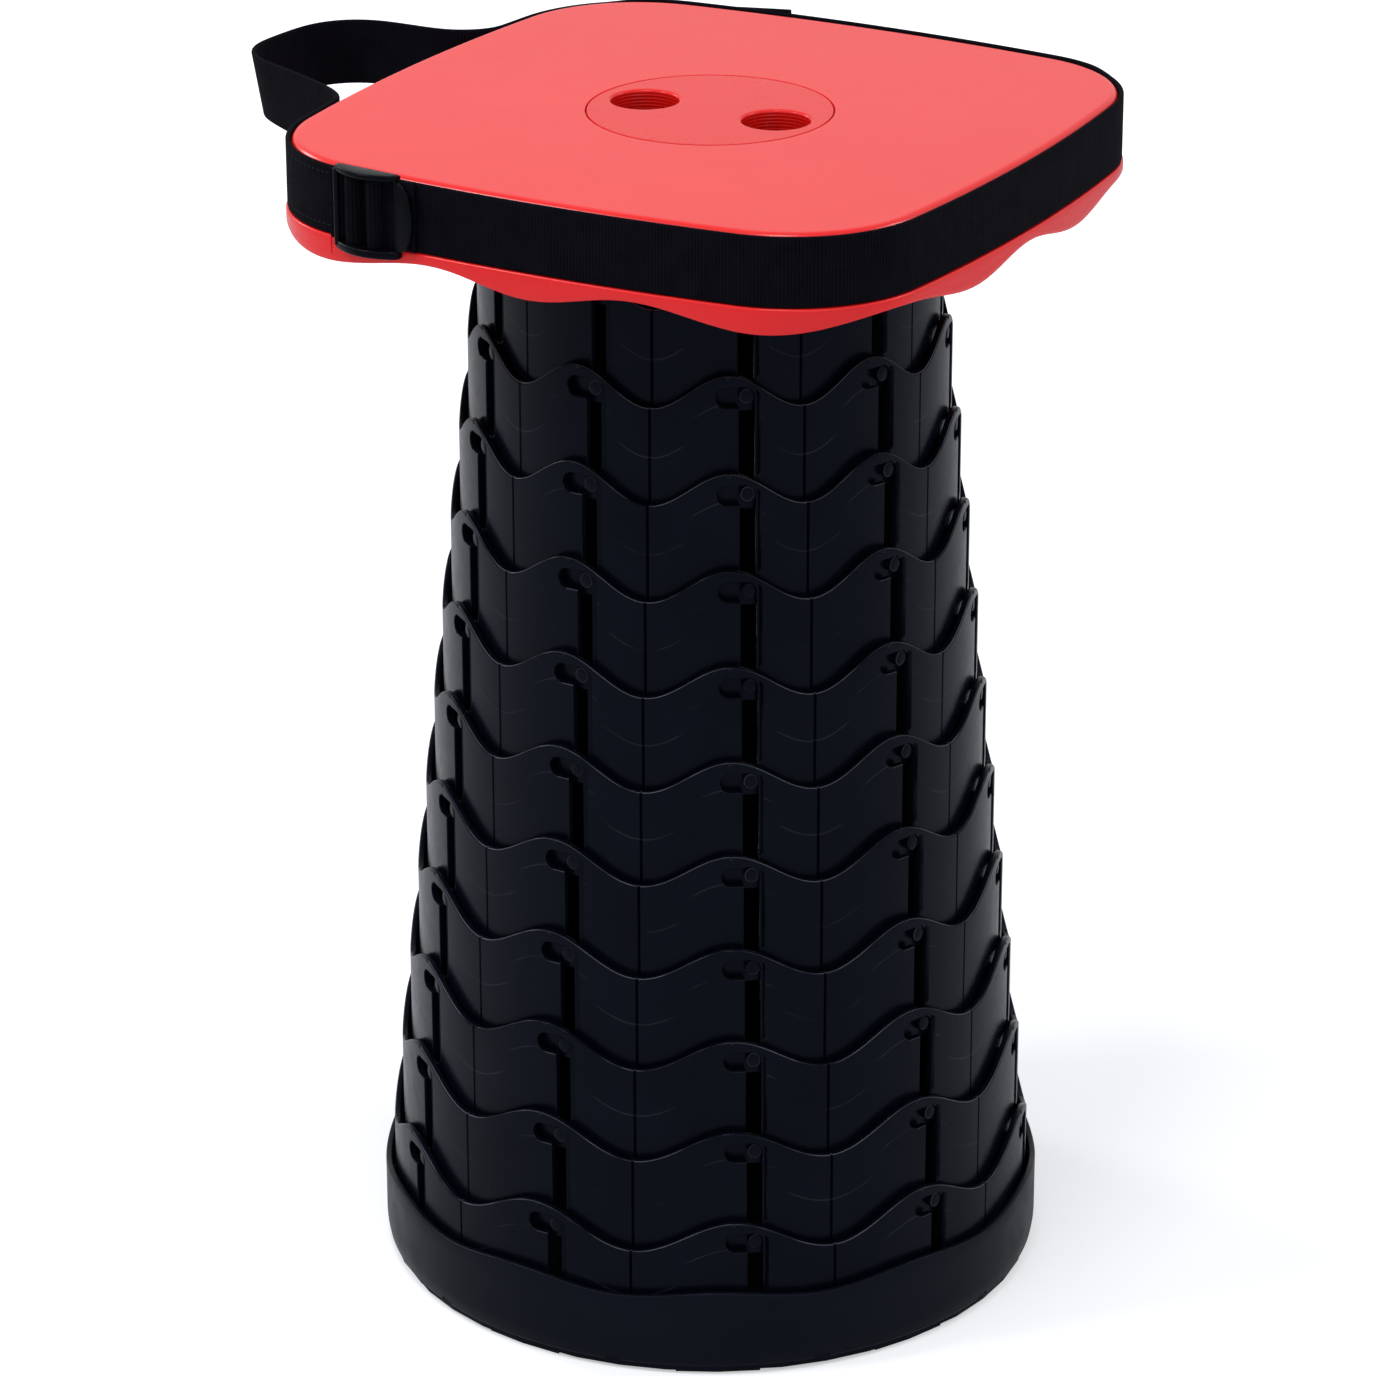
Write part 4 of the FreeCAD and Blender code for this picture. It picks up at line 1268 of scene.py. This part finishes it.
makePiece("base_shell_moulding", baseShellParts(), "base", baseBlack, ("base_shell",))
for nodeName, material in (("base_floor", baseBlack), ("base_feet", footRubber)):
    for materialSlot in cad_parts[nodeName].material_slots:
        materialSlot.material = material
print("base made")


# Stage, in metres: a white floor and world, a camera where the photograph was taken, and soft lamps
stageStyle = {
    "cameraPlace": (0.934, -1.668, 1.008),
    "cameraTurn": (67.25, 0.03, 29.24),
    "sensor": 36.0,
    "lens": 143.4,
    "shift": (-0.0159, 0.0318),
    "worldLevel": 0.47,
    "reflectedLevel": 0.55,
    "floorReach": 9.0,
    "floorTint": (0.77, 0.795, 0.85),
    "floorLevel": 0.42,
    "floorFade": (0.7, 2.6),
    "lamps": {  # place, target, size and power
        "keyLamp": ((-1.1, -1.0, 1.9), (0, 0, 0.3), 0.36, 12.5),
        "topLamp": ((0.1, -0.55, 2.3), (0, 0, 0.3), 0.36, 10.5),
        "fillLamp": ((1.6, -1.3, 1.2), (0, 0, 0.25), 1.2, 5.0),
        "leftLamp": ((-1.7, 0.15, 1.2), (0, 0, 0.3), 0.4, 6.5),
        "backLamp": ((1.3, 1.0, 1.7), (0, 0, 0.3), 0.6, 7.0),
    },
}


def makeFloor():
    # A wide plain floor; seen by the camera it is white, with the stool's shadow on it
    reach = stageStyle["floorReach"]
    corners = [(-reach, -reach, 0), (reach, -reach, 0), (reach, reach, 0), (-reach, reach, 0)]
    mesh = bpy.data.meshes.new("studioFloor")
    mesh.from_pydata(corners, [], [(0, 1, 2, 3)])
    floor = bpy.data.objects.new("studio_floor", mesh)
    bpy.context.scene.collection.objects.link(floor)
    material, tree = newMaterial("studioFloorWhite")
    paint = addNode(tree, "ShaderNodeBsdfDiffuse", {"Color": (*stageStyle["floorTint"], 1)})
    # The glow grows away from the stool, so that the floor meets the white background
    place = addNode(tree, "ShaderNodeTexCoord").outputs["Object"]
    away = addNode(tree, "ShaderNodeVectorMath", {0: place}, operation="LENGTH").outputs["Value"]
    fade = remapped(tree, away, stageStyle["floorFade"], (stageStyle["floorLevel"], 1.0))
    seen = addNode(tree, "ShaderNodeLightPath").outputs["Is Camera Ray"]
    level = calculated(tree, "MULTIPLY", seen, fade)
    glow = addNode(tree, "ShaderNodeEmission", {"Color": (*white, 1), "Strength": level})
    both = addNode(tree, "ShaderNodeAddShader", {0: paint.outputs[0], 1: glow.outputs[0]})
    addNode(tree, "ShaderNodeOutputMaterial", {"Surface": both.outputs[0]})
    mesh.materials.append(material)


def makeWorld():
    # White where it is seen, bright where it is reflected, and a plain soft light elsewhere
    world = bpy.data.worlds.new("studioWorld")
    world.use_nodes = True
    tree = world.node_tree
    tree.nodes.clear()
    path = addNode(tree, "ShaderNodeLightPath").outputs
    reflected = calculated(tree, "MULTIPLY", path["Is Glossy Ray"], stageStyle["reflectedLevel"])
    seen = calculated(tree, "MAXIMUM", path["Is Camera Ray"], reflected)
    shown = calculated(tree, "MAXIMUM", seen, path["Is Transmission Ray"])
    level = remapped(tree, shown, full, (stageStyle["worldLevel"], 1.0))
    background = addNode(tree, "ShaderNodeBackground", {"Color": (*white, 1), "Strength": level})
    addNode(tree, "ShaderNodeOutputWorld", {"Surface": background.outputs[0]})
    bpy.context.scene.world = world


def makeLamp(name, place, target, size, power):
    # A square soft lamp that faces its target
    data = bpy.data.lights.new(name, "AREA")
    data.size = size
    data.energy = power
    lamp = bpy.data.objects.new(name, data)
    lamp.location = place
    direction = lamp.location - Vector(target)
    lamp.rotation_euler = direction.to_track_quat("Z", "Y").to_euler()
    bpy.context.scene.collection.objects.link(lamp)


def makeCamera():
    # The photograph's place, lens and shift
    data = bpy.data.cameras.new("photoCamera")
    data.sensor_width = stageStyle["sensor"]
    data.lens = stageStyle["lens"]
    data.shift_x, data.shift_y = stageStyle["shift"]
    data.clip_end = 100.0
    camera = bpy.data.objects.new("photo_camera", data)
    camera.location = stageStyle["cameraPlace"]
    camera.rotation_euler = [math.radians(angle) for angle in stageStyle["cameraTurn"]]
    bpy.context.scene.collection.objects.link(camera)
    bpy.context.scene.camera = camera


makeFloor()
makeWorld()
for lampName, lampValues in stageStyle["lamps"].items():
    makeLamp(lampName, *lampValues)
makeCamera()
bpy.context.scene.view_settings.view_transform = "Standard"
print("stage made")
